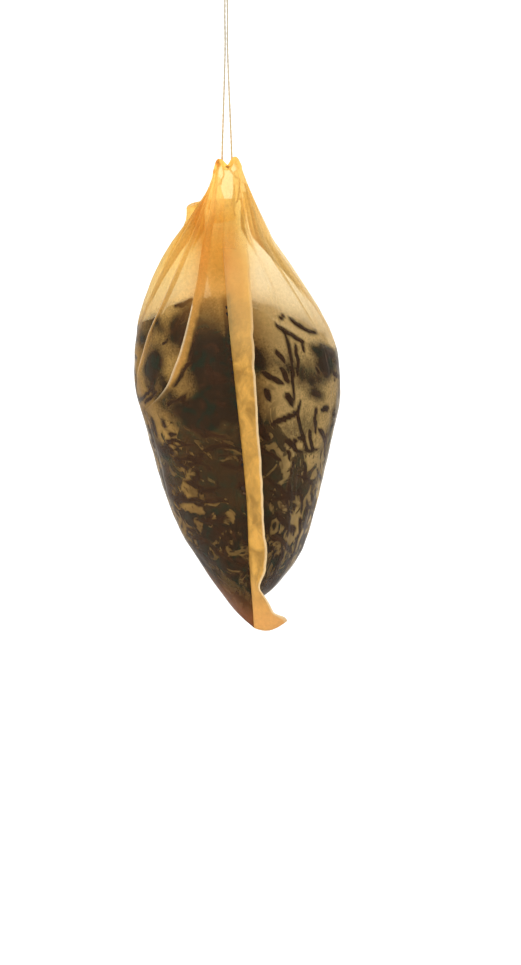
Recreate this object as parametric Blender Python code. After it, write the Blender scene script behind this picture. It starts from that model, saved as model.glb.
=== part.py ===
"""Drawstring tea filter bag: a sealed filter-paper pouch full of wet leaf, hung from its thread.

Metres, +Z up. The near side seam faces -Y. The origin is the top of the thread's loop, where
the bag is held, and everything else hangs below it.
"""

import math
from collections import namedtuple

import bmesh
import bpy
import numpy as np
from mathutils import Vector, noise

MM = 0.001

# The flat pouch
POUCH_WIDTH = 80 * MM
POUCH_HEIGHT = 100 * MM
SEAM_WIDTH = 5.2 * MM
PAPER = 0.25 * MM

# The hem round the mouth, which hooks over the thread
CHANNEL_HALF = 0.8 * MM
RIM_RISE = 1.0 * MM
FLAP = 3.0 * MM
FLAP_AT_SEAM = 0.4 * MM
FLAP_GAP = 0.2 * MM
# The shares of the way round a side where the hook opens over the thread, then lengthens.
HOOK_OPENS = (0.22, 0.32)
FLAP_LENGTHENS = (0.40, 0.52)

# The thread
THREAD_DIAMETER = 0.4 * MM
STRAND_SPACING = 0.56 * MM
HANG_LENGTH = 43 * MM

# The leaf inside
LEAF_CLEARANCE = 0.35 * MM
LEAF_LUMP = 1.5 * MM
LEAF_LUMP_SIZE = 9 * MM
LEAF_OUT_OF_CORNERS = 2.8 * MM
LEAF_OUT_OF_SEAMS = 0.7 * MM

TUBE_HALF = POUCH_WIDTH - 2 * SEAM_WIDTH
TUBE_RADIUS = TUBE_HALF / math.pi

# The filled pouch, from the bottom fold up. paper is the height up the paper. across, half, near
# and far are shares of the tube radius; the z values are shares of the pouch height, down from the
# top of the near seam. tilt is how much lower the right side hangs than the middle. point is 1
# where the section is round and more where its ends are pointed.
Station = namedtuple(
    "Station", "paper seam_x mid_x half near far side_z near_z far_z tilt point"
)
STATIONS = [
    Station(0.000, 0.250, -0.150, 0.000, 1.440, 1.400, -0.932, -0.923, -0.935, 0.000, 1.30),
    Station(0.050, 0.240, -0.075, 0.225, 1.405, 1.390, -0.928, -0.876, -0.888, 0.036, 1.30),
    Station(0.100, 0.225, 0.010, 0.410, 1.365, 1.375, -0.905, -0.829, -0.842, 0.052, 1.25),
    Station(0.150, 0.210, 0.055, 0.545, 1.320, 1.350, -0.874, -0.781, -0.798, 0.048, 1.20),
    Station(0.270, 0.190, 0.102, 0.730, 1.205, 1.280, -0.775, -0.665, -0.695, 0.030, 1.12),
    Station(0.390, 0.145, 0.108, 0.855, 1.105, 1.205, -0.657, -0.550, -0.590, 0.018, 1.05),
    Station(0.545, 0.075, 0.095, 0.984, 0.988, 1.105, -0.510, -0.399, -0.453, 0.006, 1.00),
    Station(0.635, 0.032, 0.074, 0.961, 0.825, 0.985, -0.422, -0.318, -0.376, 0.000, 1.00),
    Station(0.700, 0.004, 0.036, 0.885, 0.670, 0.865, -0.363, -0.260, -0.324, 0.000, 1.00),
    Station(0.760, -0.018, 0.000, 0.758, 0.525, 0.750, -0.303, -0.210, -0.276, 0.000, 1.00),
    Station(0.830, -0.040, -0.028, 0.595, 0.358, 0.600, -0.236, -0.154, -0.220, 0.000, 1.00),
    Station(0.880, -0.030, -0.040, 0.468, 0.245, 0.488, -0.190, -0.112, -0.180, 0.000, 1.00),
]
GATHER_FROM = STATIONS[-1].paper

# The hem's channel round the mouth, from the middle of the near seam, left round the back.
# Its two peaks beside the seam are where the strands leave.
RIM_ROUTE = [
    (0.1, -1.7, -1.5),
    (-1.0, -1.1, -0.5),
    (-2.0, 0.4, -4.6),
    (-2.7, 1.4, -8.6),
    (-3.6, 2.9, -11.6),
    (-3.7, 5.0, -12.7),
    (-2.4, 6.8, -13.3),
    (-0.4, 7.3, -13.2),
    (1.5, 6.0, -12.0),
    (2.2, 3.2, -8.8),
    (2.3, 0.8, -4.0),
    (1.1, -0.9, -0.1),
]

# How far the bunched paper stands out from the channel, by the same points.
RIM_SPREAD = [0.0, 0.1, 0.4, 1.8, 3.7, 3.9, 3.2, 2.8, 2.3, 1.8, 0.5, 0.1]
RIM_SPREAD_INSIDE = 0.3 * MM
TUCK_STOPS_SHORT = 0.45 * MM

# Each tuck folds the paper inwards. Its path gives, for heights up the paper from where it opens
# out, its place round a side, from near seam to far seam. It is crease deep where it starts and
# depth deep at the mouth.
Tuck = namedtuple("Tuck", "path crease depth slit")
LEFT_TUCKS = [
    Tuck(
        [(0.50, 0.38), (0.54, 0.25), (0.59, 0.19), (0.67, 0.145), (0.75, 0.12), (0.85, 0.11),
         (1.0, 0.12)],
        1.4, 3.6, 1.2,
    ),
    Tuck(
        [(0.56, 0.44), (0.60, 0.41), (0.70, 0.32), (0.80, 0.25), (0.88, 0.22), (1.0, 0.22)],
        0.9, 3.4, 0.9,
    ),
    Tuck([(0.60, 0.53), (0.80, 0.42), (1.0, 0.37)], 0.5, 3.0, 0.8),
    Tuck([(0.58, 0.68), (1.0, 0.60)], 0.5, 3.4, 0.9),
    Tuck([(0.64, 0.84), (1.0, 0.81)], 0.5, 3.2, 0.9),
]
RIGHT_TUCKS = [
    Tuck([(0.76, 0.20), (1.0, 0.15)], 0.6, 2.4, 1.8),
    Tuck([(0.66, 0.38), (1.0, 0.32)], 0.6, 3.0, 1.4),
    Tuck([(0.60, 0.54), (1.0, 0.50)], 0.5, 3.2, 0.9),
    Tuck([(0.56, 0.70), (1.0, 0.67)], 0.5, 3.4, 0.9),
    Tuck([(0.62, 0.86), (1.0, 0.84)], 0.5, 3.2, 0.9),
]
# A tuck's slit is this many times as wide where the tuck opens out.
SLIT_OPENS_TO = 2.2
PANEL_COLUMNS = 2
PANEL_PUFF = 0.5 * MM
EVEN_COLUMNS_BELOW = 0.20
NEARLY_FLAT_BELOW = 0.12

# The near seam's strip stands off the paper by these angles, up the paper from the fold.
NEAR_FIN_LIFT = [
    (0.00, 4), (0.04, 28), (0.08, 50), (0.115, 70), (0.15, 50), (0.19, 44), (0.24, 52),
    (0.31, 50), (0.38, 47), (0.46, 43), (0.56, 32), (0.66, 18), (0.76, 10), (0.97, 6),
]  # fmt: skip
FAR_FIN_LIFT = [(0.00, 20), (0.12, 34), (0.30, 24), (0.45, 30), (0.60, 18), (0.80, 12)]
FIN_TOP = 0.96
FIN_NARROWS_FROM = 0.84
FIN_TOP_WIDTH = 1.6 * MM
CORNER_TAB = 7.0 * MM
CORNER_TAB_BELOW = 0.06
CORNER_CURL = 2.0 * MM
SHARP_EDGE = math.radians(48)
FIN_THICKNESS = 2 * PAPER
FIN_COLUMNS = 3

ROW_HEIGHTS = [0, 0.014, 0.034, 0.058, 0.085, 0.115, 0.15, 0.19, 0.23, 0.27, 0.31, 0.35, 0.39]
ROW_HEIGHTS += [0.43, 0.47, 0.51, 0.55, 0.59, 0.63, 0.665, 0.70, 0.73, 0.76, 0.785, 0.81, 0.835]
ROW_HEIGHTS += [0.86, 0.88, 0.90, 0.92, 0.94, 0.96, 0.98, 1.0]
HOOK_ANGLES = [45, 90, 135]
RING_SAMPLES = 121

# The thread's route, from the top of its loop down the left strand, round in the hem, and up the
# right strand. The pouch's own points are measured from the top of the near seam.
LOOP_HALF_WIDTH = 1.5 * MM
LOOP_HEIGHT = 5.5 * MM
STRANDS_JOIN_AT = -21 * MM
LEFT_INTO_HEM = [(-0.94, -0.2, 2.0), (-0.9, -0.2, -1.0)]
RIGHT_INTO_HEM = [(0.96, -0.2, 2.0), (0.95, -0.2, -1.0)]
# It dips under the hook's end on its way in: this far below the channel, until these shares.
THREAD_DIP = 1.2 * MM
THREAD_DIP_INWARD = 0.5 * MM
THREAD_OUTWARD = 0.2 * MM
THREAD_RISES = (0.30, 0.40)
THREAD_IN_HEM = [0.20, 0.25, 0.30, 0.35, 0.40, 0.46, 0.54, 0.62, 0.70, 0.78, 0.86, 0.93, 1.0]
THREAD_POINTS = 79

# The leaf is heaped highest at the near seam and lowest on the right.
LEAF_TOP = 0.648
LEAF_HIGHER_NEAR = 0.057
LEAF_LOWER_RIGHT = 0.037
LEAF_BOTTOM = 0.03
LEAF_ROWS = 21
LEAF_CAP = [(0.80, 0.7), (0.45, 2.0)]

# Wet paper sinks between the leaves under it.
DENT = 0.30 * MM
DENT_SIZE = 9 * MM
DENT_BROAD = 0.16 * MM
DENT_BROAD_SIZE = 11 * MM


def clear_scene():
    for obj in list(bpy.data.objects):
        bpy.data.objects.remove(obj, do_unlink=True)


def material(name, colour, roughness):
    made = bpy.data.materials.new(name)
    made.use_nodes = True
    shader = made.node_tree.nodes["Principled BSDF"]
    shader.inputs["Base Color"].default_value = (*colour, 1.0)
    shader.inputs["Roughness"].default_value = roughness
    shader.inputs["Metallic"].default_value = 0.0
    made.diffuse_color = (*colour, 1.0)
    return made


def smooth_step(value, low, high):
    share = np.clip((np.asarray(value, float) - low) / (high - low), 0.0, 1.0)
    return share * share * (3 - 2 * share)


def curve_through(x, xs, ys):
    """A smooth curve through the points (xs, ys), read at x."""
    xs, ys = np.asarray(xs, float), np.asarray(ys, float)
    slopes = np.gradient(ys, xs, axis=0)
    at = np.clip(np.searchsorted(xs, x) - 1, 0, len(xs) - 2)
    step = xs[at + 1] - xs[at]
    t = (np.asarray(x, float) - xs[at]) / step
    if ys.ndim > 1:
        t, step = t[..., None], step[..., None]
    return (
        (1 + 2 * t) * (1 - t) ** 2 * ys[at]
        + t * (1 - t) ** 2 * step * slopes[at]
        + t * t * (3 - 2 * t) * ys[at + 1]
        + t * t * (t - 1) * step * slopes[at + 1]
    )


def closed_curve(points, per_span):
    """Points along a smooth closed curve through the given ones."""
    points = np.asarray(points, float)
    t = np.linspace(0, 1, per_span, endpoint=False)[:, None]
    spans = []
    for i in range(len(points)):
        a, b, c, d = (points[(i + k) % len(points)] for k in (-1, 0, 1, 2))
        spans.append(
            b + 0.5 * t * (c - a + t * (2 * a - 5 * b + 4 * c - d + t * (3 * b - a - 3 * c + d)))
        )
    return np.concatenate(spans)


def by_length(line):
    """The share of the line's length at each of its points."""
    steps = np.linalg.norm(np.diff(line, axis=0), axis=1)
    total = np.concatenate([[0], np.cumsum(steps)])
    return total / total[-1]


def read_line(line, share):
    along = by_length(line)
    return np.stack([np.interp(share, along, line[:, k]) for k in range(line.shape[1])], axis=-1)


def station_line(paper, side):
    """Half of the section at this paper height, from near seam to far seam, on side -1 or 1."""
    table = np.array(STATIONS)
    row = Station(*curve_through(np.array(paper), table[:, 0], table))
    turn = np.linspace(0, math.pi, RING_SAMPLES)
    s, c = np.abs(np.sin(turn)), np.cos(turn)
    reach = np.where(c > 0, row.near, row.far)
    end_z = np.where(c > 0, row.near_z, row.far_z)
    x = row.seam_x * c * c + row.mid_x * s * s + side * max(row.half, 0.0) * s**row.point
    y = -reach * c
    z = row.side_z + (end_z - row.side_z) * c * c - side * row.tilt * s * s
    return np.stack([x * TUBE_RADIUS, y * TUBE_RADIUS, z * POUCH_HEIGHT], axis=1)


def rim_line(side):
    """Half of the hem's channel on that side, with the spread of the paper there as a 4th value."""
    per_span = 24
    table = [(*point, spread) for point, spread in zip(RIM_ROUTE, RIM_SPREAD)]
    whole = closed_curve(table, per_span) * MM
    far = per_span * max(range(len(RIM_ROUTE)), key=lambda i: RIM_ROUTE[i][1])
    left = whole[: far + 1]
    right = np.concatenate([whole[far:], whole[:1]])[::-1]
    line = left if side < 0 else right
    line[:, 3] = np.clip(line[:, 3], 0, None)
    return line


def outward(line, share, side):
    """The level direction away from the pouch's axis, at that share of the line."""
    ahead = read_line(line, np.clip(share + 0.01, 0, 1))
    behind = read_line(line, np.clip(share - 0.01, 0, 1))
    along = (ahead - behind)[:, :2]
    away = np.stack([-along[:, 1], along[:, 0]], axis=1) * -side
    ends = (share < 1e-6) | (share > 1 - 1e-6)
    away[ends, 0] = 0
    away /= np.linalg.norm(away, axis=1)[:, None]
    return np.concatenate([away, np.zeros((len(away), 1))], axis=1)


def side_columns():
    """(panel, share of it) or (tuck, -1 to 1 across it), from near seam to far seam."""
    count = len(LEFT_TUCKS)
    inner = [(k + 1) / (PANEL_COLUMNS + 1) for k in range(PANEL_COLUMNS)]
    made = [("panel", 0, 0.0)]
    for i in range(count + 1):
        made += [("panel", i, f) for f in inner]
        if i < count:
            made += [("tuck", i, f) for f in (-1.0, 0.0, 1.0)]
    return made + [("panel", count, 1.0)]


def column_places(paper, tucks, columns):
    """Each column's share of the way round, how deep it is folded in, and how much it puffs."""
    up_it = [1 - (1 - paper) / (1 - t.path[0][0]) for t in tucks]
    creased = [float(smooth_step(f, 0, 0.18)) for f in up_it]
    gathered = [float(smooth_step(f, 0.25, 0.85)) for f in up_it]
    folded = [
        (t.crease * c + (t.depth - t.crease) * g) * MM for t, c, g in zip(tucks, creased, gathered)
    ]
    centre = [
        float(curve_through(np.array(max(paper, t.path[0][0])), *zip(*t.path))) for t in tucks
    ]
    half_slit = [
        0.5 * t.slit * MM / TUBE_HALF * (SLIT_OPENS_TO - (SLIT_OPENS_TO - 1) * c)
        for t, c in zip(tucks, creased)
    ]
    starts = [0.0] + [c + h for c, h in zip(centre, half_slit)]
    ends = [c - h for c, h in zip(centre, half_slit)] + [1.0]
    share, depth, puff = [], [], []
    for kind, i, f in columns:
        if kind == "tuck":
            share.append(centre[i] + f * half_slit[i])
            depth.append(folded[i] * (1 - abs(f)))
            puff.append(0.0)
        else:
            share.append(starts[i] + f * (ends[i] - starts[i]))
            depth.append(0.0)
            puff.append(math.sin(math.pi * f))
    even = np.arange(len(columns)) / (len(columns) - 1)
    settled = float(smooth_step(paper, 0, EVEN_COLUMNS_BELOW))
    share = even + (np.array(share) - even) * settled
    return share, np.array(depth), np.array(puff)


def dents(paper, points):
    """How far the paper stands in or out at these points, over the leaf and above it."""
    over_leaf = float(smooth_step(paper, 0.02, 0.10) * (1 - smooth_step(paper, 0.66, 0.74)))
    below_hem = 1 - float(smooth_step(paper, 0.84, 0.92))
    return np.array([
        over_leaf * DENT * noise.noise(Vector(p / DENT_SIZE))
        + below_hem * DENT_BROAD * noise.noise(Vector(p / DENT_BROAD_SIZE) + Vector((5, 1, 3)))
        for p in points
    ])


def side_row(paper, side):
    """The pouch's outer face at this paper height, on one side, column by column."""
    tucks = LEFT_TUCKS if side < 0 else RIGHT_TUCKS
    share, depth, puff = column_places(paper, tucks, side_columns())
    ring = station_line(min(paper, GATHER_FROM), side)
    points = read_line(ring, share)
    away = outward(ring, share, side)
    puff = puff * PANEL_PUFF * float(smooth_step(paper, 0.55, 0.9))
    points = points + away * (puff - depth + dents(paper, points))[:, None]
    gathered = (paper - GATHER_FROM) / (1 - GATHER_FROM)
    if gathered > 0:
        channel, rim_away, spread = rim_columns(side, share)
        rim = channel + rim_away * rim_reach(depth, spread)[:, None]
        points = points + (rim - points) * gathered
    return points


def rim_reach(depth, spread):
    """How far the paper's outer face stands from the channel's centre at the mouth."""
    return CHANNEL_HALF + spread - np.minimum(depth, np.clip(spread - TUCK_STOPS_SHORT, 0, None))


def rim_columns(side, share):
    """The channel's centre, its outward direction and the paper's spread there, by column."""
    line = rim_line(side)
    read = read_line(line, share)
    return read[:, :3], outward(line[:, :3], share, side), read[:, 3]


def above_channel(side, share):
    """The upward direction square to the hem's channel, which is steep beside the near seam."""
    line = rim_line(side)[:, :3]
    along = read_line(line, np.clip(share + 0.02, 0, 1)) - read_line(line, np.clip(share - 0.02, 0, 1))
    along /= np.linalg.norm(along, axis=1)[:, None]
    above = np.array([0, 0, 1.0]) - along * along[:, 2:]
    return above / np.linalg.norm(above, axis=1)[:, None]


def hook_rows(side):
    """The outer face carried on over the thread and down the inside of the mouth."""
    tucks = LEFT_TUCKS if side < 0 else RIGHT_TUCKS
    share, depth, _ = column_places(1.0, tucks, side_columns())
    channel, away, spread = rim_columns(side, share)
    outside = rim_reach(depth, spread)
    inside = CHANNEL_HALF + RIM_SPREAD_INSIDE * (depth == 0)
    shut = -CHANNEL_HALF + PAPER + FLAP_GAP
    inside = shut + (inside - shut) * smooth_step(share, *HOOK_OPENS)
    flap = FLAP_AT_SEAM + (FLAP - FLAP_AT_SEAM) * smooth_step(share, *FLAP_LENGTHENS)
    middle, half = (outside - inside) / 2, (outside + inside) / 2
    up = above_channel(side, share)
    rows = []
    for angle in HOOK_ANGLES:
        turn = math.radians(angle)
        reach = middle + half * math.cos(turn)
        rows.append(channel + away * reach[:, None] + up * RIM_RISE * math.sin(turn))
    for share_down in (0, 0.5, 1):
        rows.append(channel - away * inside[:, None] - up * (flap * share_down)[:, None])
    return rows


def round_the_pouch(left, right):
    """One ring of columns: near seam, left side, far seam, right side back to the start."""
    return np.concatenate([left, right[-2:0:-1]])


def sheet_grid():
    """The outer face of the paper, row by row from the fold to the flap's free edge."""
    rows = [round_the_pouch(side_row(h, -1), side_row(h, 1)) for h in ROW_HEIGHTS]
    rows += [round_the_pouch(a, b) for a, b in zip(hook_rows(-1), hook_rows(1))]
    return np.array(rows)


def grid_normals(grid):
    """Unit normals on the outer side of a grid that closes on itself from column to column."""
    round_it = np.roll(grid, -1, axis=1) - np.roll(grid, 1, axis=1)
    up_it = np.gradient(grid, axis=0)
    normal = np.cross(up_it, round_it)
    return normal / np.maximum(np.linalg.norm(normal, axis=2), 1e-12)[..., None]


def inside_face(grid):
    """The other face of the sheet, one paper thickness in."""
    inner = grid - grid_normals(grid) * PAPER
    half = grid.shape[1] // 2
    for r, height in enumerate(ROW_HEIGHTS):
        if height > NEARLY_FLAT_BELOW:
            break
        for j in range(grid.shape[1]):
            partner = grid[r, -j % grid.shape[1]]
            middle_x = (grid[r, j, 0] + partner[0]) / 2
            across = grid[r, j, 0] - middle_x
            kept = max(abs(across) - PAPER, 0.45 * abs(across))
            inner[r, j] = grid[r, j]
            inner[r, j, 0] = middle_x + math.copysign(kept, across)
            inner[r, j, 1] *= 1 - 2 * PAPER / abs(grid[r, 0, 1])
            inner[r, j, 2] += 2 * PAPER * max(0.0, 1 - height / 0.03)
        inner[r, 0, 0] = grid[r, 0, 0]
        inner[r, half, 0] = grid[r, half, 0]
    return inner


def fin_width(height):
    """The seam strip's width up the paper: a wide corner, the even seam, and the narrow top."""
    corner = 1 - float(smooth_step(height, 0, CORNER_TAB_BELOW))
    top = float(smooth_step(height, FIN_NARROWS_FROM, FIN_TOP))
    return SEAM_WIDTH + (CORNER_TAB - SEAM_WIDTH) * corner + (FIN_TOP_WIDTH - SEAM_WIDTH) * top


def fin_row(root, height, lifts, toward):
    """The strip's section: out along its upper side and back along its lower side."""
    angle = math.radians(float(curve_through(height, *zip(*lifts))))
    side = np.array([toward, 0, 0])
    front = np.array([0, -toward, 0])
    run = math.cos(angle) * side + math.sin(angle) * front
    face = -math.sin(angle) * side + math.cos(angle) * front
    corner = 1 - float(smooth_step(height, 0, CORNER_TAB_BELOW))
    width = fin_width(height)
    over, under = [], []
    for k in range(FIN_COLUMNS):
        share = (k + 1) / FIN_COLUMNS
        curl = np.array([0, 0, CORNER_CURL * corner * (share**2 - 0.45 * math.sin(math.pi * share))])
        under.append(root + run * width * share + curl)
        over.append(under[-1] + face * FIN_THICKNESS)
    return over + under[::-1]


def pouch_mesh(name):
    grid = sheet_grid()
    inner = inside_face(grid)
    rows, columns = grid.shape[:2]
    half = columns // 2
    mesh = bmesh.new()
    outer_id = [[None] * columns for _ in range(rows)]
    inner_id = [[None] * columns for _ in range(rows)]
    for r in range(rows):
        for j in range(columns):
            twin = -j % columns
            if r == 0 and j > half:
                outer_id[r][j], inner_id[r][j] = outer_id[r][twin], inner_id[r][twin]
            else:
                outer_id[r][j] = mesh.verts.new(grid[r, j])
                inner_id[r][j] = mesh.verts.new(inner[r, j])
    # The seam columns split in two where a strip stands on them.
    second = [dict() for _ in range(rows)]
    fins = {0: (NEAR_FIN_LIFT, 1.0), half: (FAR_FIN_LIFT, -1.0)}
    last = max(r for r, h in enumerate(ROW_HEIGHTS) if h <= FIN_TOP)
    for seam, (lifts, toward) in fins.items():
        chains = []
        for r in range(last + 1):
            root = grid[r, seam]
            ring = [mesh.verts.new(p) for p in fin_row(root, ROW_HEIGHTS[r], lifts, toward)]
            if 0 < r < last:
                split = Vector(root) + Vector((-toward * FIN_THICKNESS * 0.7, -toward * 0.1 * MM, 0))
                second[r][seam] = outer_id[r][seam]
                outer_id[r][seam] = mesh.verts.new(split)
            chains.append([outer_id[r][seam]] + ring + [second[r].get(seam, outer_id[r][seam])])
        for low, high in zip(chains, chains[1:]):
            for k in range(len(low) - 1):
                add_face(mesh, [low[k], low[k + 1], high[k + 1], high[k]])
        for end in (chains[0], chains[-1]):
            add_face(mesh, end[:-1])
    for r in range(rows - 1):
        for j in range(columns):
            k = (j + 1) % columns
            low = ring_edge(outer_id[r], second[r], j, k, half)
            high = ring_edge(outer_id[r + 1], second[r + 1], j, k, half)
            add_face(mesh, [low[0], low[1], high[1], high[0]])
            add_face(mesh, [inner_id[r][j], inner_id[r + 1][j], inner_id[r + 1][k], inner_id[r][k]])
    for j in range(columns):
        k = (j + 1) % columns
        add_face(mesh, [outer_id[-1][j], outer_id[-1][k], inner_id[-1][k], inner_id[-1][j]])
    return finished(mesh, name)


def ring_edge(row, second, j, k, half):
    """The two ends of one step round the pouch; right of a seam uses that seam's second point."""
    a, b = row[j], row[k]
    if j == half:
        a = second.get(half, a)
    if k == 0:
        b = second.get(0, b)
    return a, b


def add_face(mesh, corners):
    kept = []
    for corner in corners:
        if corner not in kept:
            kept.append(corner)
    if len(kept) > 2:
        mesh.faces.new(kept)


def finished(mesh, name):
    bmesh.ops.triangulate(mesh, faces=mesh.faces[:])
    bmesh.ops.recalc_face_normals(mesh, faces=mesh.faces[:])
    if mesh.calc_volume(signed=True) < 0:
        bmesh.ops.reverse_faces(mesh, faces=mesh.faces[:])
    made = bpy.data.meshes.new(name)
    mesh.to_mesh(made)
    mesh.free()
    made.shade_smooth()
    made.set_sharp_from_angle(angle=SHARP_EDGE)
    return made


def leaf_columns():
    """The paper's columns that the leaf takes: a tuck's deep edge, and those between the tucks."""
    kept = [i for i, (kind, _, f) in enumerate(side_columns()) if kind == "panel" or f == 0]
    count = len(side_columns())
    return kept + [2 * (count - 1) - i for i in reversed(kept[1:-1])]


def leaf_paper(heights):
    """The paper's outer face at each leaf row's heights, which differ from column to column."""
    levels = np.linspace(0, 0.76, 39)
    paper = np.array([round_the_pouch(side_row(h, -1), side_row(h, 1)) for h in levels])
    columns = leaf_columns()
    rows = np.empty((len(heights), len(columns), 3))
    for k, column in enumerate(columns):
        for axis in range(3):
            rows[:, k, axis] = np.interp(heights[:, k], levels, paper[:, column, axis])
    return rows


def leaf_heights():
    """The height up the paper of each leaf point, row by row."""
    half = len(leaf_columns()) // 2
    turn = math.pi * np.concatenate([-np.arange(half + 1), np.arange(half - 1, 0, -1)]) / half
    top = LEAF_TOP + LEAF_HIGHER_NEAR * np.cos(turn) - LEAF_LOWER_RIGHT * np.sin(turn)
    share = np.linspace(0, 1, LEAF_ROWS)[:, None]
    return LEAF_BOTTOM + (top - LEAF_BOTTOM) * share


def inside_flat_row(row, kept_out, inset):
    """The row moved in from both corners, along the flattened paper, and in from its two faces."""
    half = len(row) // 2
    sides = row[: half + 1], np.concatenate([row[half:], row[:1]])[::-1]
    y = sides[0][:, 1] * (1 - kept_out / abs(row[0, 1]))
    moved = [
        np.stack([np.interp(y, side[:, 1], side[:, k]) for k in range(3)], axis=1)
        for side in sides
    ]
    middle = (moved[0] + moved[1]) / 2
    for side in moved:
        across = abs(side[:, 0] - middle[:, 0])
        kept = np.maximum(1 - 1.5 * inset / np.maximum(across, 1e-9), 0.3)
        side[:] = middle + (side - middle) * kept[:, None]
        side[:, 1] = y
        side[:, 2] += inset
    return round_the_pouch(*moved)


def leaf_grid():
    """The packed leaf: set in from the paper, and lumpy as leaf is."""
    heights = leaf_heights()
    rows = leaf_paper(heights)
    normals = grid_normals(rows)
    inset = PAPER + LEAF_CLEARANCE
    grid = rows - normals * inset
    columns = rows.shape[1]
    for r, height in enumerate(heights[:, 0]):
        low = 1 - float(smooth_step(height, 0.05, 0.35))
        kept_out = LEAF_OUT_OF_SEAMS + (LEAF_OUT_OF_CORNERS - LEAF_OUT_OF_SEAMS) * low
        grid[r, :, 1] *= 1 - kept_out / abs(rows[r, 0, 1])
        if height < NEARLY_FLAT_BELOW:
            grid[r] = inside_flat_row(rows[r], kept_out, inset)
        for j in range(columns):
            lump = 0.4 + 1.5 * noise.noise(Vector(rows[r, j] / LEAF_LUMP_SIZE) + Vector((9, 2, 1)))
            room = min(1.0, np.linalg.norm(rows[r, j] - rows[r, -j % columns]) / (8 * MM))
            grid[r, j] -= normals[r, j] * LEAF_LUMP * min(max(lump, 0.0), 1.0) * room
    return grid


def leaf_mesh(name):
    grid = leaf_grid()
    columns = grid.shape[1]
    centre = grid[-1].mean(axis=0)
    for share, rise in LEAF_CAP:
        ring = centre + (grid[LEAF_ROWS - 1] - centre) * share
        ring[:, 2] += rise * MM
        grid = np.concatenate([grid, ring[None]])
    mesh = bmesh.new()
    ids = [[mesh.verts.new(p) for p in row] for row in grid]
    for low, high in zip(ids, ids[1:]):
        for j in range(columns):
            k = (j + 1) % columns
            add_face(mesh, [low[j], low[k], high[k], high[j]])
    top = mesh.verts.new(centre + np.array([0, 0, LEAF_CAP[-1][1] * MM]))
    for j in range(columns):
        k = (j + 1) % columns
        add_face(mesh, [ids[-1][j], ids[-1][k], top])
    half = columns // 2
    for j in range(half):
        add_face(mesh, [ids[0][j], ids[0][j + 1], ids[0][-(j + 1) % columns], ids[0][-j % columns]])
    return finished(mesh, name)


def thread_route():
    """Points round the whole loop of thread, measured from the top of the near seam."""
    top = np.array([0, 0, HANG_LENGTH - THREAD_DIAMETER / 2])
    base = HANG_LENGTH - LOOP_HEIGHT
    join = HANG_LENGTH + STRANDS_JOIN_AT
    apart = STRAND_SPACING / 2
    left = [
        top,
        (-LOOP_HALF_WIDTH, 0, HANG_LENGTH - 0.3 * LOOP_HEIGHT),
        (-0.6 * LOOP_HALF_WIDTH, 0, HANG_LENGTH - 0.7 * LOOP_HEIGHT),
        (-apart, 0, base),
        (-apart, 0, (base + join) / 2),
        (-apart, 0.05 * MM, join),
    ]
    right = [(-x, y, z) for x, y, z in left[1:]]
    left += [tuple(v * MM for v in point) for point in LEFT_INTO_HEM]
    right += [tuple(v * MM for v in point) for point in RIGHT_INTO_HEM]
    left += list(thread_in_hem(-1))
    right += list(thread_in_hem(1)[:-1])
    return closed_curve(left + right[::-1], 12)


def thread_in_hem(side):
    """The thread's points from the hook's end to the middle of the far side."""
    share = np.array(THREAD_IN_HEM)
    channel, away, _ = rim_columns(side, share)
    dip = (1 - smooth_step(share, *THREAD_RISES))[:, None]
    inward = (1 - smooth_step(share, THREAD_IN_HEM[0], THREAD_RISES[0]))[:, None]
    down = above_channel(side, share) * THREAD_DIP * dip
    across = away * (THREAD_OUTWARD * (1 - dip) - THREAD_DIP_INWARD * inward)
    return channel - down + across


def thread_curve(name):
    line = thread_route()
    line = np.concatenate([line, line[:1]])
    steps = np.linalg.norm(np.diff(line, axis=0), axis=1)
    ahead = np.roll(line[:-1], -1, axis=0) - line[:-1]
    ahead /= np.linalg.norm(ahead, axis=1)[:, None]
    bend = np.linalg.norm(ahead - np.roll(ahead, 1, axis=0), axis=1)
    weight = steps + 0.5 * MM * bend / 0.1
    along = np.concatenate([[0], np.cumsum(weight)])
    at = np.linspace(0, along[-1], THREAD_POINTS, endpoint=False)
    points = np.stack([np.interp(at, along, line[:, k]) for k in range(3)], axis=1)
    curve = bpy.data.curves.new(name, "CURVE")
    curve.dimensions = "3D"
    curve.bevel_depth = THREAD_DIAMETER / 2
    curve.bevel_resolution = 2
    curve.use_fill_caps = True
    spline = curve.splines.new("POLY")
    spline.points.add(len(points) - 1)
    for place, point in zip(spline.points, points):
        place.co = (*point, 1.0)
    spline.use_cyclic_u = True
    return curve


def build():
    clear_scene()
    hung = bpy.data.objects.new("hung_from_loop", None)
    hung.location = (0, 0, -HANG_LENGTH)
    bpy.context.scene.collection.objects.link(hung)
    parts = [
        ("filter_pouch", pouch_mesh, material("unbleached_paper", (0.79, 0.47, 0.16), 0.55)),
        ("tea_leaves", leaf_mesh, material("wet_black_tea", (0.035, 0.024, 0.015), 0.4)),
        ("drawstring", thread_curve, material("cotton_thread", (0.62, 0.48, 0.30), 0.8)),
    ]
    for name, shape, finish in parts:
        made = bpy.data.objects.new(name, shape(name))
        made.data.materials.append(finish)
        made.parent = hung
        bpy.context.scene.collection.objects.link(made)


build()
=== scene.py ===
"""Looks of the drawstring tea filter bag: wet filter paper, leaf seen through it, and thread."""

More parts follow.
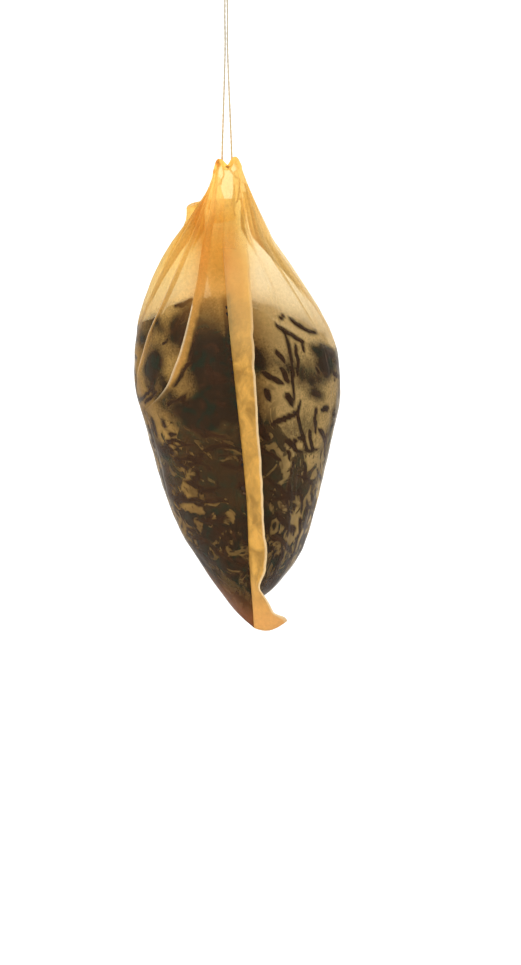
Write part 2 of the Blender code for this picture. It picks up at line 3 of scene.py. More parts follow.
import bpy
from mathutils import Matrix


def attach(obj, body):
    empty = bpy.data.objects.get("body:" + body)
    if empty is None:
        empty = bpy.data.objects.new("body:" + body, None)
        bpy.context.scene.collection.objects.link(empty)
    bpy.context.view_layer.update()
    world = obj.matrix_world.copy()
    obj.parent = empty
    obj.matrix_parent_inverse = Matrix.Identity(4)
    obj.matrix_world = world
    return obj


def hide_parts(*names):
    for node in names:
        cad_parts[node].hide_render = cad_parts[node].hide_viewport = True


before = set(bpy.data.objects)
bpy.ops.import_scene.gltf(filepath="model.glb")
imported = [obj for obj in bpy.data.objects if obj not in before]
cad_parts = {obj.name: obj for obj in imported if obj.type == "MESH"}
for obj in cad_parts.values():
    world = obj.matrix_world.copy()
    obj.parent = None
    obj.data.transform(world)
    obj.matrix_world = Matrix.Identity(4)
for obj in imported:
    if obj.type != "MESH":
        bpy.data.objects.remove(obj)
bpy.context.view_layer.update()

import math
import random
from collections import namedtuple

import bpy
import numpy as np
from mathutils import Vector, noise
from mathutils.bvhtree import BVHTree

MM = 0.001

# The flat pouch and its hem, as in the solids
POUCH_WIDTH = 80 * MM
POUCH_HEIGHT = 100 * MM
SEAM_WIDTH = 5.2 * MM
CHANNEL_HALF = 0.8 * MM
RIM_RISE = 1.0 * MM
FLAP = 3.0 * MM
FLAP_AT_SEAM = 0.4 * MM
FLAP_GAP = 0.2 * MM
HOOK_OPENS = (0.22, 0.32)
FLAP_LENGTHENS = (0.40, 0.52)
THREAD_DIAMETER = 0.4 * MM
STRAND_SPACING = 0.56 * MM
HANG_LENGTH = 43 * MM
TUBE_HALF = POUCH_WIDTH - 2 * SEAM_WIDTH
TUBE_RADIUS = TUBE_HALF / math.pi
HUNG = np.array([0.0, 0.0, -HANG_LENGTH])

# The thickness of the wet paper, and of the sealed strip
PAPER = 0.11 * MM
STRIP = 0.26 * MM

# The filled pouch, from the bottom fold up. paper is the height up the paper. across, half, near
# and far are shares of the tube radius; the z values are shares of the pouch height, down from the
# top of the near seam. tilt is how much lower the right side hangs than the middle. point is 1
# where the section is round and more where its ends are pointed.
Station = namedtuple("Station", "paper seam_x mid_x half near far side_z near_z far_z tilt point")
STATIONS = [
    Station(0.000, 0.250, -0.150, 0.000, 1.440, 1.400, -0.932, -0.923, -0.935, 0.000, 1.30),
    Station(0.050, 0.240, -0.075, 0.225, 1.405, 1.390, -0.928, -0.876, -0.888, 0.036, 1.30),
    Station(0.100, 0.225, 0.010, 0.410, 1.365, 1.375, -0.905, -0.829, -0.842, 0.052, 1.25),
    Station(0.150, 0.210, 0.055, 0.545, 1.320, 1.350, -0.874, -0.781, -0.798, 0.048, 1.20),
    Station(0.270, 0.190, 0.102, 0.730, 1.205, 1.280, -0.775, -0.665, -0.695, 0.030, 1.12),
    Station(0.390, 0.145, 0.108, 0.855, 1.105, 1.205, -0.657, -0.550, -0.590, 0.018, 1.05),
    Station(0.545, 0.075, 0.095, 0.984, 0.988, 1.105, -0.510, -0.399, -0.453, 0.006, 1.00),
    Station(0.635, 0.032, 0.074, 0.961, 0.825, 0.985, -0.422, -0.318, -0.376, 0.000, 1.00),
    Station(0.700, 0.004, 0.036, 0.885, 0.670, 0.865, -0.363, -0.260, -0.324, 0.000, 1.00),
    Station(0.760, -0.018, 0.000, 0.758, 0.525, 0.750, -0.303, -0.210, -0.276, 0.000, 1.00),
    Station(0.830, -0.040, -0.028, 0.595, 0.358, 0.600, -0.236, -0.154, -0.220, 0.000, 1.00),
    Station(0.880, -0.030, -0.040, 0.468, 0.245, 0.488, -0.190, -0.112, -0.180, 0.000, 1.00),
]
GATHER_FROM = STATIONS[-1].paper

# The hem's channel round the mouth, from the middle of the near seam, left round the back: each
# point, and how far the gathered paper spreads from the channel there, in mm.
RIM_ROUTE = [
    (0.1, -1.7, -1.5, 0.0), (-1.0, -1.1, -0.5, 0.1), (-2.0, 0.4, -4.6, 0.4),
    (-2.7, 1.4, -8.6, 1.8), (-3.6, 2.9, -11.6, 3.7), (-3.7, 5.0, -12.7, 3.9),
    (-2.4, 6.8, -13.3, 3.2), (-0.4, 7.3, -13.2, 2.8), (1.5, 6.0, -12.0, 2.3),
    (2.2, 3.2, -8.8, 1.8), (2.3, 0.8, -4.0, 0.5), (1.1, -0.9, -0.1, 0.1),
]
RIM_PER_SPAN = 24
RIM_SPREAD_INSIDE = 0.3 * MM
TUCK_STOPS_SHORT = 0.45 * MM

# Each tuck folds the paper inwards along its path. lean is how far its deep edge lies back under
# the paper on the near seam's side, and reach is how far off the paper beyond it comes level again.
Tuck = namedtuple("Tuck", "path crease depth slit lean reach")
LEFT_TUCKS = [
    Tuck([(0.50, 0.38), (0.54, 0.25), (0.59, 0.19), (0.67, 0.145), (0.75, 0.12), (0.85, 0.11),
          (1.0, 0.12)], 1.4, 3.6, 0.5, 2.6, 2.6),
    Tuck([(0.56, 0.44), (0.60, 0.41), (0.70, 0.32), (0.80, 0.25), (0.88, 0.22), (1.0, 0.22)],
         0.8, 3.4, 0.5, 1.3, 1.6),
    Tuck([(0.60, 0.53), (0.80, 0.42), (1.0, 0.37)], 0.5, 3.0, 0.8, 0.5, 0.8),
    Tuck([(0.58, 0.68), (1.0, 0.60)], 0.5, 3.4, 0.9, 0.6, 0.8),
    Tuck([(0.64, 0.84), (1.0, 0.81)], 0.5, 3.2, 0.9, 0.5, 0.8),
]
RIGHT_TUCKS = [
    Tuck([(0.76, 0.20), (1.0, 0.15)], 0.5, 2.4, 1.4, 0.4, 1.2),
    Tuck([(0.66, 0.38), (1.0, 0.32)], 0.6, 3.0, 1.2, 0.5, 1.4),
    Tuck([(0.60, 0.54), (1.0, 0.50)], 0.5, 3.2, 0.9, 0.5, 0.8),
    Tuck([(0.56, 0.70), (1.0, 0.67)], 0.5, 3.4, 0.9, 0.5, 0.8),
    Tuck([(0.62, 0.86), (1.0, 0.84)], 0.5, 3.2, 0.9, 0.5, 0.8),
]
TUCKS = {-1: LEFT_TUCKS, 1: RIGHT_TUCKS}
PANEL_COLUMNS = {-1: [16, 18, 12, 12, 12, 10], 1: [18, 16, 14, 14, 14, 10]}
SLIT_OPENS_TO = 2.2
PANEL_PUFF = 0.5 * MM
EVEN_COLUMNS_BELOW = 0.20
NEARLY_FLAT_BELOW = 0.12
FOLD_ROUND = 0.13 * MM
FOLD_POINTS = 12
# A fold is creased from here on, as shares of the way from its foot to the mouth.
CREASES = (0, 0.18)

# The near seam's strip stands off the paper by these angles, up the paper from the fold.
NEAR_FIN_LIFT = [
    (0.00, 4), (0.04, 28), (0.08, 50), (0.115, 70), (0.15, 50), (0.19, 44), (0.24, 52),
    (0.31, 50), (0.38, 47), (0.46, 43), (0.56, 32), (0.66, 18), (0.76, 10), (0.97, 6),
]
FAR_FIN_LIFT = [(0.00, 20), (0.12, 34), (0.30, 24), (0.45, 30), (0.60, 18), (0.80, 12)]
FIN_TOP = 0.96
FIN_NARROWS_FROM = 0.84
FIN_TOP_WIDTH = 1.6 * MM
CORNER_TAB = 7.0 * MM
CORNER_TAB_BELOW = 0.06
CORNER_CURL = 2.0 * MM
FIN_COLUMNS = 9
PAPER_ROWS = 140

# The thread's route, as in the solids
LOOP_HALF_WIDTH = 1.5 * MM
LOOP_HEIGHT = 5.5 * MM
STRANDS_JOIN_AT = -21 * MM
LEFT_INTO_HEM = [(-0.94, -0.2, 2.0), (-0.9, -0.2, -1.0)]
RIGHT_INTO_HEM = [(0.96, -0.2, 2.0), (0.95, -0.2, -1.0)]
THREAD_DIP = 1.2 * MM
THREAD_DIP_INWARD = 0.5 * MM
THREAD_OUTWARD = 0.2 * MM
THREAD_RISES = (0.30, 0.40)
THREAD_IN_HEM = [0.20, 0.25, 0.30, 0.35, 0.40, 0.46, 0.54, 0.62, 0.70, 0.78, 0.86, 0.93, 1.0]
THREAD_STEP = 0.22 * MM
THREAD_SIDES = 12
PLY_HALF_TURN = 1.15 * MM
STAINED_TO = 26 * MM

# The leaf's heap, as in the solids: highest at the near seam and lowest on the right. The dents
# are in the wet paper over it, and the pleats above it.
LEAF_TOP = 0.655
LEAF_HIGHER_NEAR = 0.054
LEAF_LOWER_RIGHT = 0.030
LEAF_LUMP = 1.5 * MM
LEAF_LUMP_SIZE = 9 * MM
DENT = 0.30 * MM
DENT_SIZE = 9 * MM
DENT_BROAD = 0.16 * MM
DENT_BROAD_SIZE = 11 * MM
DENT_FINE = 0.13 * MM
DENT_FINE_SIZE = 2.8 * MM
PLEAT = 0.20 * MM
PLEAT_SIZE = 2.4 * MM

# Leaf places are a height up the paper and a place round it: 0 at the near seam, negative to the
# left and positive to the right of it, 1 at the far seam.
LEAF_HEIGHTS = (0.022, 0.86)
CORE_ROWS, CORE_COLUMNS = 84, 190
CORE_FOOT = 0.03
LEAF_SEED = 7
LEAVES_AT_PAPER = 560
LEAVES_DEEPER = 180
LEAF_SIDES = 6
ARC_RINGS = 9
SHOWN_RINGS = 11
SHOWN_WIDER = 1.15
# Where the heap presses against the paper: height, place, and how far that reaches in each.
PRESSED = [
    (0.62, -0.050, 0.085, 0.045), (0.53, -0.070, 0.080, 0.065), (0.43, -0.080, 0.060, 0.065),
    (0.60, -0.115, 0.050, 0.030), (0.61, -0.290, 0.028, 0.060), (0.67, -0.385, 0.018, 0.040),
    (0.64, 0.305, 0.013, 0.034), (0.61, 0.350, 0.018, 0.026), (0.545, 0.285, 0.010, 0.042),
    (0.445, 0.065, 0.018, 0.022), (0.52, 0.035, 0.050, 0.012), (0.31, -0.070, 0.070, 0.055),
    (0.20, -0.080, 0.070, 0.060), (0.17, 0.120, 0.055, 0.075), (0.33, 0.060, 0.045, 0.032),
    (0.23, 0.160, 0.030, 0.045), (0.09, -0.080, 0.050, 0.120), (0.35, -0.150, 0.030, 0.020),
]
# Leaves that show through the paper: each one's width in mm, then the heights and places that it
# runs through, in thousandths.
SHOWN_LEAVES = [
    (0.85, 712, -205, 715, -170, 722, -135), (0.9, 665, -190, 690, -165, 705, -137),
    (1.1, 630, -182, 645, -170, 668, -157), (0.6, 645, -243, 650, -217),
    (0.45, 515, -425, 535, -350, 555, -293), (0.45, 520, -360, 535, -303, 548, -270),
    (0.8, 545, -200, 560, -173, 580, -150, 592, -127), (0.75, 510, -240, 515, -193, 527, -147),
    (1.0, 503, -177, 511, -150), (0.95, 495, -273, 465, -263, 435, -233, 415, -187, 410, -146),
    (0.8, 487, -320, 460, -327, 432, -323), (0.8, 462, -405, 438, -390),
    (1.0, 468, -122, 445, -113, 418, -100), (1.1, 580, -75, 560, -70, 538, -62),
    (1.1, 540, -62, 545, -40, 548, -17), (1.1, 505, -70, 495, -53, 497, -34),
    (1.05, 400, -367, 408, -270, 380, -237, 365, -203, 367, -147), (0.6, 372, -372, 352, -312),
    (0.55, 342, -355, 328, -315), (1.35, 385, -140, 400, -100, 407, -63, 400, -20),
    (1.25, 362, -140, 335, -163, 310, -187, 285, -180),
    (1.05, 300, -403, 290, -343, 285, -260, 287, -150), (1.2, 365, -70, 360, -40, 350, -10),
    (1.0, 275, -185, 285, -120, 285, -60), (1.0, 240, -195, 235, -133, 246, -67),
    (0.85, 205, -270, 205, -220, 178, -190), (0.7, 135, -300, 140, -220, 125, -165),
    (1.1, 225, -85, 190, -70, 150, -87), (0.9, 190, -165, 170, -130, 150, -98),
    (0.65, 672, 158, 662, 183, 655, 220, 650, 262), (0.6, 685, 180, 697, 207),
    (0.75, 695, 227, 688, 250, 680, 300, 685, 362),
    (0.62, 652, 187, 625, 190, 585, 183, 545, 180, 522, 176), (0.68, 637, 217, 605, 210, 573, 198),
    (0.4, 645, 250, 628, 245), (0.75, 617, 138, 594, 159), (0.95, 582, 138, 554, 166),
    (0.85, 568, 80, 555, 107, 549, 144), (1.3, 527, 145, 508, 172), (1.2, 530, 80, 508, 95),
    (1.5, 450, 85, 475, 140, 497, 195), (1.6, 470, 52, 440, 63, 422, 85),
    (0.68, 522, 205, 495, 193, 465, 203, 440, 220, 422, 250), (0.85, 517, 274, 490, 270, 463, 284),
    (1.1, 514, 300, 520, 345), (0.85, 467, 246, 445, 253, 423, 272), (1.1, 472, 298, 443, 370),
    (0.5, 602, 290, 588, 306), (1.2, 431, 140, 420, 186), (0.8, 406, 148, 393, 166),
    (0.62, 392, 184, 370, 173, 353, 162), (0.85, 396, 221, 380, 243, 352, 248),
    (0.9, 345, 160, 325, 167, 308, 184), (0.8, 338, 215, 315, 237, 288, 240),
    (0.8, 288, 66, 305, 127, 307, 190), (1.1, 268, 95, 250, 150, 250, 222),
    (0.9, 337, 64, 330, 97, 318, 140), (0.95, 278, 236, 250, 250, 222, 254),
    (0.8, 402, 54, 390, 83, 384, 123), (0.7, 359, 194, 366, 247, 353, 300),
]

# The camera looks along y from this far above level. Its reach is the distance to its target, and
# half the view's height is taken there.
CAMERA_RISE = math.radians(26.0)
CAMERA_TARGET = Vector((6.9, 0.0, -117.0)) * MM
CAMERA_REACH = 0.624
HALF_VIEW = 0.1045
LAMPS_AIM = Vector((0, 0, -0.09))
ROOM_LIGHT = 0.93
FLOOR_HALF = 3.0
FLOOR_Z = -0.24
FLOOR_GLOW = 0.22
# The share of light that goes straight through clear wet paper
CLEAR_SHARE = 0.66


# Camera, light and finishes

class Nodes:
    """A node tree, with a short call for each kind of node that it takes."""

    def __init__(self, tree):
        self.tree = tree

    def node(self, kind):
        return self.tree.nodes.new("ShaderNode" + kind)

    def give(self, socket, given):
        """A number, a colour or what another node puts out, given to an input."""
        if isinstance(given, (int, float)):
            socket.default_value = given
        elif isinstance(given, tuple):
            socket.default_value = (*given, 1.0)
        else:
            self.tree.links.new(given, socket)

    def maths(self, kind, first, second, clamp=False):
        made = self.node("Math")
        made.operation, made.use_clamp = kind, clamp
        self.give(made.inputs[0], first)
        self.give(made.inputs[1], second)
        return made.outputs[0]

    def blend(self, share, first, second):
        """Two surfaces mixed, where the share is the second one's."""
        made = self.node("MixShader")
        for socket, given in zip(made.inputs, (share, first, second)):
            self.give(socket, given)
        return made.outputs[0]

    def seen_directly(self):
        """1 for what the camera, a reflection or glass shows, 0 for the light on the object."""
        path = self.node("LightPath").outputs
        straight = self.maths("ADD", path["Is Camera Ray"], path["Is Glossy Ray"])
        return self.maths("ADD", straight, path["Is Transmission Ray"], True)


class Finish(Nodes):
    """A material being built."""

    def __init__(self, name):
        self.made = bpy.data.materials.new(name)
        self.made.use_nodes = True
        super().__init__(self.made.node_tree)
        self.shader = self.tree.nodes["Principled BSDF"]
        self.place = self.node("TexCoord").outputs["Object"]

    def noise(self, scale, detail=4.0, rough=0.6, distort=0.0, stretch=None):
        place = self.place
        if stretch:
            scaling = self.node("Mapping")
            scaling.inputs["Scale"].default_value = stretch
            self.give(scaling.inputs["Vector"], place)
            place = scaling.outputs[0]
        made = self.node("TexNoise")
        names = ("Vector", "Scale", "Detail", "Roughness", "Distortion")
        for name, given in zip(names, (place, scale, detail, rough, distort)):
            self.give(made.inputs[name], given)
        return made.outputs["Fac"]

    def span(self, value, low, high, out_low=0, out_high=1):
        """The value carried from one range to another, and held inside it."""
        made = self.node("MapRange")
        names = ("Value", "From Min", "From Max", "To Min", "To Max")
        for name, given in zip(names, (value, low, high, out_low, out_high)):
            self.give(made.inputs[name], given)
        return made.outputs["Result"]

    def between(self, share, at_none, at_full):
        return self.span(share, 0, 1, at_none, at_full)

    def mix(self, share, first, second, blend="MIX"):
        made = self.node("Mix")
        made.data_type, made.blend_type = "RGBA", blend
        for index, given in ((0, share), (6, first), (7, second)):
            self.give(made.inputs[index], given)
        return made.outputs[2]

    def painted(self, base, *layers):
        """The base colour with each (share, colour) laid over it in turn."""
        for share, colour in layers:
            base = self.mix(share, base, colour)
        return base

    def plus(self, first, *others):
        for other in others:
            first = self.maths("ADD", first, other)
        return first

    def times(self, first, *others):
        for other in others:
            first = self.maths("MULTIPLY", first, other)
        return first

    def most(self, first, *others):
        for other in others:
            first = self.maths("MAXIMUM", first, other)
        return first

    def rest(self, share):
        return self.maths("SUBTRACT", 1.0, share)

    def point(self, name):
        """A value that the mesh holds at its points."""
        made = self.node("Attribute")
        made.attribute_name = name
        return made.outputs["Fac"]

    def surface(self, colour, roughness, specular):
        self.give(self.shader.inputs["Base Color"], colour)
        self.shader.inputs["Roughness"].default_value = roughness
        self.shader.inputs["Specular IOR Level"].default_value = specular

    def bumps(self, *heights):
        """Bumps stacked one on another: (height, distance in mm, strength), the largest first."""
        normal = None
        for height, distance, strength in heights:
            bump = self.node("Bump")
            bump.inputs["Strength"].default_value = strength
            bump.inputs["Distance"].default_value = distance * MM
            self.give(bump.inputs["Height"], height)
            if normal is not None:
                self.give(bump.inputs["Normal"], normal)
            normal = bump.outputs["Normal"]
        self.give(self.shader.inputs["Normal"], normal)
        return normal

    def translucent(self, colour, normal):
        made = self.node("BsdfTranslucent")
        self.give(made.inputs["Color"], colour)
        self.give(made.inputs["Normal"], normal)
        return made.outputs[0]

    def transparent(self, colour):
        made = self.node("BsdfTransparent")
        self.give(made.inputs["Color"], colour)
        return made.outputs[0]

    def done(self, surface):
        self.give(self.tree.nodes["Material Output"].inputs["Surface"], surface)
        return self.made


def add_camera():
    """A long lens from in front and above, at the photograph's viewing angle."""
    data = bpy.data.cameras.new("camera")
    data.sensor_fit = "VERTICAL"
    data.angle = 2 * math.atan(HALF_VIEW / CAMERA_REACH)
    data.clip_start = 0.01
    camera = bpy.data.objects.new("camera", data)
    toward_camera = Vector((0, -math.cos(CAMERA_RISE), math.sin(CAMERA_RISE)))
    camera.location = CAMERA_TARGET + CAMERA_REACH * toward_camera
    camera.rotation_euler = (math.pi / 2 - CAMERA_RISE, 0, 0)
    bpy.context.scene.collection.objects.link(camera)
    bpy.context.scene.camera = camera


def add_lamp(name, place, size, power):
    data = bpy.data.lights.new(name, "AREA")
    data.shape, data.size, data.energy = "SQUARE", size, power
    lamp = bpy.data.objects.new(name, data)
    lamp.location = place
    lamp.rotation_euler = (Vector(place) - LAMPS_AIM).to_track_quat("Z", "Y").to_euler()
    bpy.context.scene.collection.objects.link(lamp)


def set_world():
    """Soft light from all round the object, and plain white where the world itself is seen."""
    world = bpy.data.worlds.new("studio")
    bpy.context.scene.world = world
    world.use_nodes = True
    studio = Nodes(world.node_tree)
    studio.tree.nodes.clear()
    light, seen = studio.node("Background"), studio.node("Background")
    room, white = (1.0, 0.985, 0.965), (1, 1, 1)
    for made, colour, strength in ((light, room, ROOM_LIGHT), (seen, white, 1.0)):
        studio.give(made.inputs["Color"], colour)
        studio.give(made.inputs["Strength"], strength)
    both = studio.blend(studio.seen_directly(), light.outputs[0], seen.outputs[0])
    studio.give(studio.node("OutputWorld").inputs["Surface"], both)


def add_floor():
    """A plain pale floor well below the hung bag."""
    half, z = FLOOR_HALF, FLOOR_Z
    mesh = bpy.data.meshes.new("floor")
    mesh.from_pydata(
        [(-half, -half, z), (half, -half, z), (half, half, z), (-half, half, z)], [], [(0, 1, 2, 3)]
    )
    floor = bpy.data.objects.new("floor", mesh)
    bpy.context.scene.collection.objects.link(floor)
    finish = Finish("pale_floor")
    finish.surface((0.86, 0.86, 0.855), 0.9, 0.1)
    finish.give(finish.shader.inputs["Emission Color"], (1, 1, 1))
    glow = finish.times(finish.seen_directly(), FLOOR_GLOW)
    finish.give(finish.shader.inputs["Emission Strength"], glow)
    mesh.materials.append(finish.made)


def wet_paper(name, clear):
    """Soaked filter paper: light passes it, what lies against it shows, and it has a faint wet
    gloss with a painted sheen at grazing views.
    """
    f = Finish(name)
    up, lip, folded = f.point("up"), f.point("lip"), f.point("folded")
    pressed_on, backed = f.point("pressed"), f.point("backed")
    split = f.node("SeparateXYZ")
    f.give(split.inputs[0], f.place)
    x = split.outputs["X"]
    hem = f.times(f.span(up, 0.64, 0.88), f.span(x, 2 * MM, 6.5 * MM, 1, 0.15))
    ragged = f.plus(up, f.span(f.noise(95, 2.0, 0.5), 0.3, 0.7, -0.09, 0.09))
    low = f.span(ragged, 0.42, 0.56, 1, 0)
    lowest = f.span(up, 0.08, 0.28, 1, 0)
    # Along the bottom fold the paper gets a dark red-brown painted shade and shows little of what
    # is behind.
    corner = f.span(up, 0.015, 0.085, 1, 0)
    fibre = f.noise(1500, 6.0, 0.72, 0.6)
    long_fibre = f.noise(900, 4.0, 0.7, 1.2, (1.0, 1.0, 0.22))

    # The heap touches the low paper in broad patches and small ones, and most along the middle.
    at_sides = f.plus(f.span(x, -11 * MM, -6 * MM, 1, 0), f.span(x, 8 * MM, 14 * MM))
    broad = f.plus(f.noise(165, 2.4, 0.55, 1.6), f.between(pressed_on, -0.025, 0.17),
                   f.between(at_sides, 0.015, -0.06))
    small = f.plus(f.noise(380, 1.8, 0.5, 1.5), f.between(at_sides, 0.01, -0.015))
    touched = f.most(f.span(broad, 0.49, 0.57), f.span(small, 0.57, 0.62, 0, 0.9))
    touched = f.maths("ADD", f.times(touched, f.between(low, 0, 0.92)),
                      f.between(lowest, 0, 0.5), True)
    # Where paper only just reaches the heap, it touches it fibre by fibre.
    speck = f.noise(2300, 3.0, 0.65)
    half_way = f.times(f.span(pressed_on, 0.04, 0.3, 0, 0.3), f.span(pressed_on, 0.34, 0.62, 1, 0))
    grit = f.times(f.span(speck, 0.3, 0.7, -1.2, 1.2), half_way)
    mass = f.maths("ADD", f.span(pressed_on, 0.18, 0.62), grit, True)
    fleck = f.times(f.span(speck, 0.50, 0.60, 0, 0.55), f.span(backed, 0.72, 0.97))
    mass = f.times(f.most(mass, fleck), f.span(ragged, 0.34, 0.46, 0.12, 1.0))
    leaf = f.span(f.point("contact"), 0.12, 0.6)
    # Where the sheet is folded three deep, little of what is behind shows.
    contact = f.times(f.most(mass, leaf, touched), f.between(folded, 1.0, 0.45))

    hue = f.noise(330, 2.0, 0.6, 0.8)
    stain = f.painted(
        (0.058, 0.034, 0.018),
        (f.span(hue, 0.38, 0.46, 1, 0), (0.033, 0.043, 0.025)),
        (f.span(hue, 0.56, 0.66), (0.100, 0.046, 0.022)),
        (f.times(leaf, 0.7), (0.080, 0.035, 0.017)),
    )
    gold = f.painted(
        (0.44, 0.225, 0.055),
        (f.span(f.noise(120, 2.0, 0.5), 0.38, 0.62), (0.90, 0.51, 0.130)),
        # Towards the right the leaf-backed paper is lighter: painted light.
        (f.between(f.span(x, 7 * MM, 12 * MM), 0, 0.8), (1.0, 0.68, 0.26)),
        (f.span(pressed_on, 0.1, 0.9, 0, 0.7), (0.22, 0.135, 0.050)),
        (f.between(lowest, 0, 0.9), (0.12, 0.074, 0.030)),
    )
    corner_shade = f.between(corner, 0, 0.9)
    # lip brings the pale painted highlight on fold edges and the deep orange painted shade in the
    # folds, on the spout and in the hollow beside it; both let less through.
    pale, fold = f.span(lip, 0, 1), f.span(lip, -1, 0, 1, 0)
    soaked = f.painted(
        (1.0, 0.64, 0.26), (hem, (1.0, 0.60, 0.17)), (backed, gold),
        (f.times(folded, backed), (0.80, 0.42, 0.10)), (contact, stain),
        (corner_shade, (0.27, 0.090, 0.022)), (pale, (1.0, 0.83, 0.55)), (fold, (0.76, 0.35, 0.07)),
    )
    glow = f.painted(
        (1.0, 0.86, 0.54), (hem, (1.0, 0.79, 0.35)),
        (f.between(lowest, 0, 0.8), (0.30, 0.20, 0.09)),
        (contact, (0.12, 0.08, 0.045)), (corner_shade, (0.42, 0.14, 0.035)),
        (pale, (1.0, 0.92, 0.72)), (fold, (0.86, 0.50, 0.13)),
    )
    tone = f.times(f.span(fibre, 0.35, 0.65, 0.90, 1.08),
                   f.span(f.noise(170, 3.0, 0.55), 0.3, 0.7, 0.93, 1.06))
    # Painted sheen: the colour turns pale at a grazing view, as a film of water reflecting the room
    # would; none is painted on the folds.
    view = f.node("LayerWeight")
    view.inputs["Blend"].default_value = 0.5
    facing = view.outputs["Facing"]
    painted_sheen = f.times(f.maths("POWER", facing, 12.0), f.span(up, 0.36, 0.50, 0.8, 0.45),
                   f.span(corner, 0, 0.7, 1.0, 0.0))
    # A thinner painted highlight along the silhouettes of the upper body.
    rim = f.times(f.maths("POWER", facing, 6.0), f.span(up, 0.44, 0.54, 0, 0.25))
    painted_sheen = f.times(f.maths("ADD", painted_sheen, rim, True), f.rest(f.point("bend")))
    unsheened = f.rest(painted_sheen)
    f.surface(f.mix(painted_sheen, f.mix(1.0, soaked, tone, "MULTIPLY"), (0.78, 0.74, 0.68)), 0.36, 0.05)
    normal = f.bumps((contact, 0.12, 0.4), (long_fibre, 0.05, 0.5), (fibre, 0.03, 0.6))
    through = f.translucent(f.mix(1.0, glow, tone, "MULTIPLY"), normal)
    body = f.blend(f.times(f.between(backed, 0.78, 0.36), unsheened), f.shader.outputs[0], through)
    # What lies close behind is seen well; with leaf behind it, air between makes it pale. Towards
    # the right it is made paler still, painted light.
    veiled = f.times(backed, f.rest(contact), f.span(x, 6 * MM, 12 * MM, 0.85, 1.15))
    share = f.times(
        f.between(hem, clear, clear * 0.55), f.span(veiled, 0, 1.15, 1.0, 0.34),
        f.between(contact, 1.0, 0.4), f.between(folded, 1.0, 0.6), f.between(pale, 1.0, 0.4),
        f.between(fold, 1.0, 0.45), f.between(corner, 1.0, 0.12), unsheened,
        f.span(fibre, 0.3, 0.7, 1.06, 0.94),
    )
    open_paper = f.transparent(f.mix(hem, (1.0, 0.945, 0.83), (1.0, 0.86, 0.50)))
    return f.done(f.blend(share, body, open_paper))


def bare_paper(name):
    """The inner face, which adds little of its own to what the outer face shows."""
    f = Finish(name)
    tone = f.span(f.noise(1500, 6.0, 0.72, 0.6), 0.35, 0.65, 0.90, 1.08)
    f.surface(f.mix(1.0, (1.0, 0.70, 0.34), tone, "MULTIPLY"), 0.5, 0.1)
    return f.done(f.blend(0.96, f.shader.outputs[0], f.transparent((1.0, 0.99, 0.96))))


def sealed_paper(name):
    """The heat-sealed strip: two layers pressed together, which melt into the gathered neck."""
    f = Finish(name)
    up = f.point("up")
    rise = f.span(up, 0.58, 0.78)
    gone = f.span(up, 0.72, 0.865)
    cloud = f.noise(300, 3.0, 0.6, 0.6)
    fibre = f.noise(1500, 6.0, 0.72, 0.6)
    base = f.painted(
        (0.38, 0.195, 0.030), (f.span(cloud, 0.35, 0.65), (0.78, 0.435, 0.085)),
        (rise, (0.90, 0.64, 0.26)), (f.span(up, 0.02, 0.12, 1, 0), (0.76, 0.38, 0.11)),
        # A painted highlight along the strip's free edge.
        (f.point("edge"), (1.0, 0.78, 0.46)),
    )
    tone = f.span(fibre, 0.32, 0.68, 0.86, 1.12)
    f.surface(f.mix(1.0, base, tone, "MULTIPLY"), 0.55, 0.3)
    normal = f.bumps((cloud, 0.22, 0.6), (fibre, 0.035, 0.6))
    through = f.translucent((1.0, 0.80, 0.40), normal)
    body = f.blend(f.between(rise, 0.28, 0.62), f.shader.outputs[0], through)
    open_paper = f.transparent(f.mix(gone, (1.0, 0.86, 0.50), (1.0, 1.0, 1.0)))
    return f.done(f.blend(f.most(f.between(rise, 0.06, 0.35), gone), body, open_paper))


def wet_leaf(name):
    """Soaked black tea: nearly black, with brown and green-brown leaves among the rest."""
    f = Finish(name)
    grain = f.noise(1300, 5.0, 0.7, 0.4, (1.0, 1.0, 0.5))
    patch = f.noise(420, 3.0, 0.6)
    ramp = f.node("ValToRGB")
    stops = [
        (0.0, (0.008, 0.006, 0.005)), (0.45, (0.022, 0.014, 0.008)),
        (0.75, (0.060, 0.032, 0.016)), (1.0, (0.125, 0.066, 0.028)),
    ]
    for _ in stops[2:]:
        ramp.color_ramp.elements.new(0.5)
    for element, (position, colour) in zip(ramp.color_ramp.elements, stops):
        element.position = position
        element.color = (*colour, 1)
    jitter = f.span(patch, 0.3, 0.7, -0.18, 0.18)
    f.give(ramp.inputs["Fac"], f.maths("ADD", f.point("tone"), jitter, True))
    shade = f.span(grain, 0.3, 0.7, 0.7, 1.3)
    f.surface(f.mix(1.0, ramp.outputs[0], shade, "MULTIPLY"), 0.38, 0.12)
    f.bumps((patch, 0.25, 0.6), (grain, 0.06, 0.7))
    return f.made


def cotton(name):
    """Undyed cotton thread, stained by the tea where it is wet."""
    f = Finish(name)
    strand = f.noise(2600, 4.0, 0.7, 0.3, (1.0, 1.0, 0.35))
    base = f.mix(f.point("stain"), (0.58, 0.51, 0.38), (0.70, 0.50, 0.24))
    shade = f.span(strand, 0.3, 0.7, 0.78, 1.15)
    f.surface(f.mix(1.0, base, shade, "MULTIPLY"), 0.82, 0.2)
    f.shader.inputs["Sheen Weight"].default_value = 0.25
    f.shader.inputs["Sheen Roughness"].default_value = 0.5
    f.bumps((strand, 0.05, 0.7))
    return f.made


# Shapes shared with the solids

def smooth_step(value, low, high):
    share = np.clip((np.asarray(value, float) - low) / (high - low), 0.0, 1.0)
    return share * share * (3 - 2 * share)


def rise_and_fall(value, rise, fall):
    """From 0 to 1 over the first range, and back to 0 over the second."""
    return smooth_step(value, *rise) * (1 - smooth_step(value, *fall))


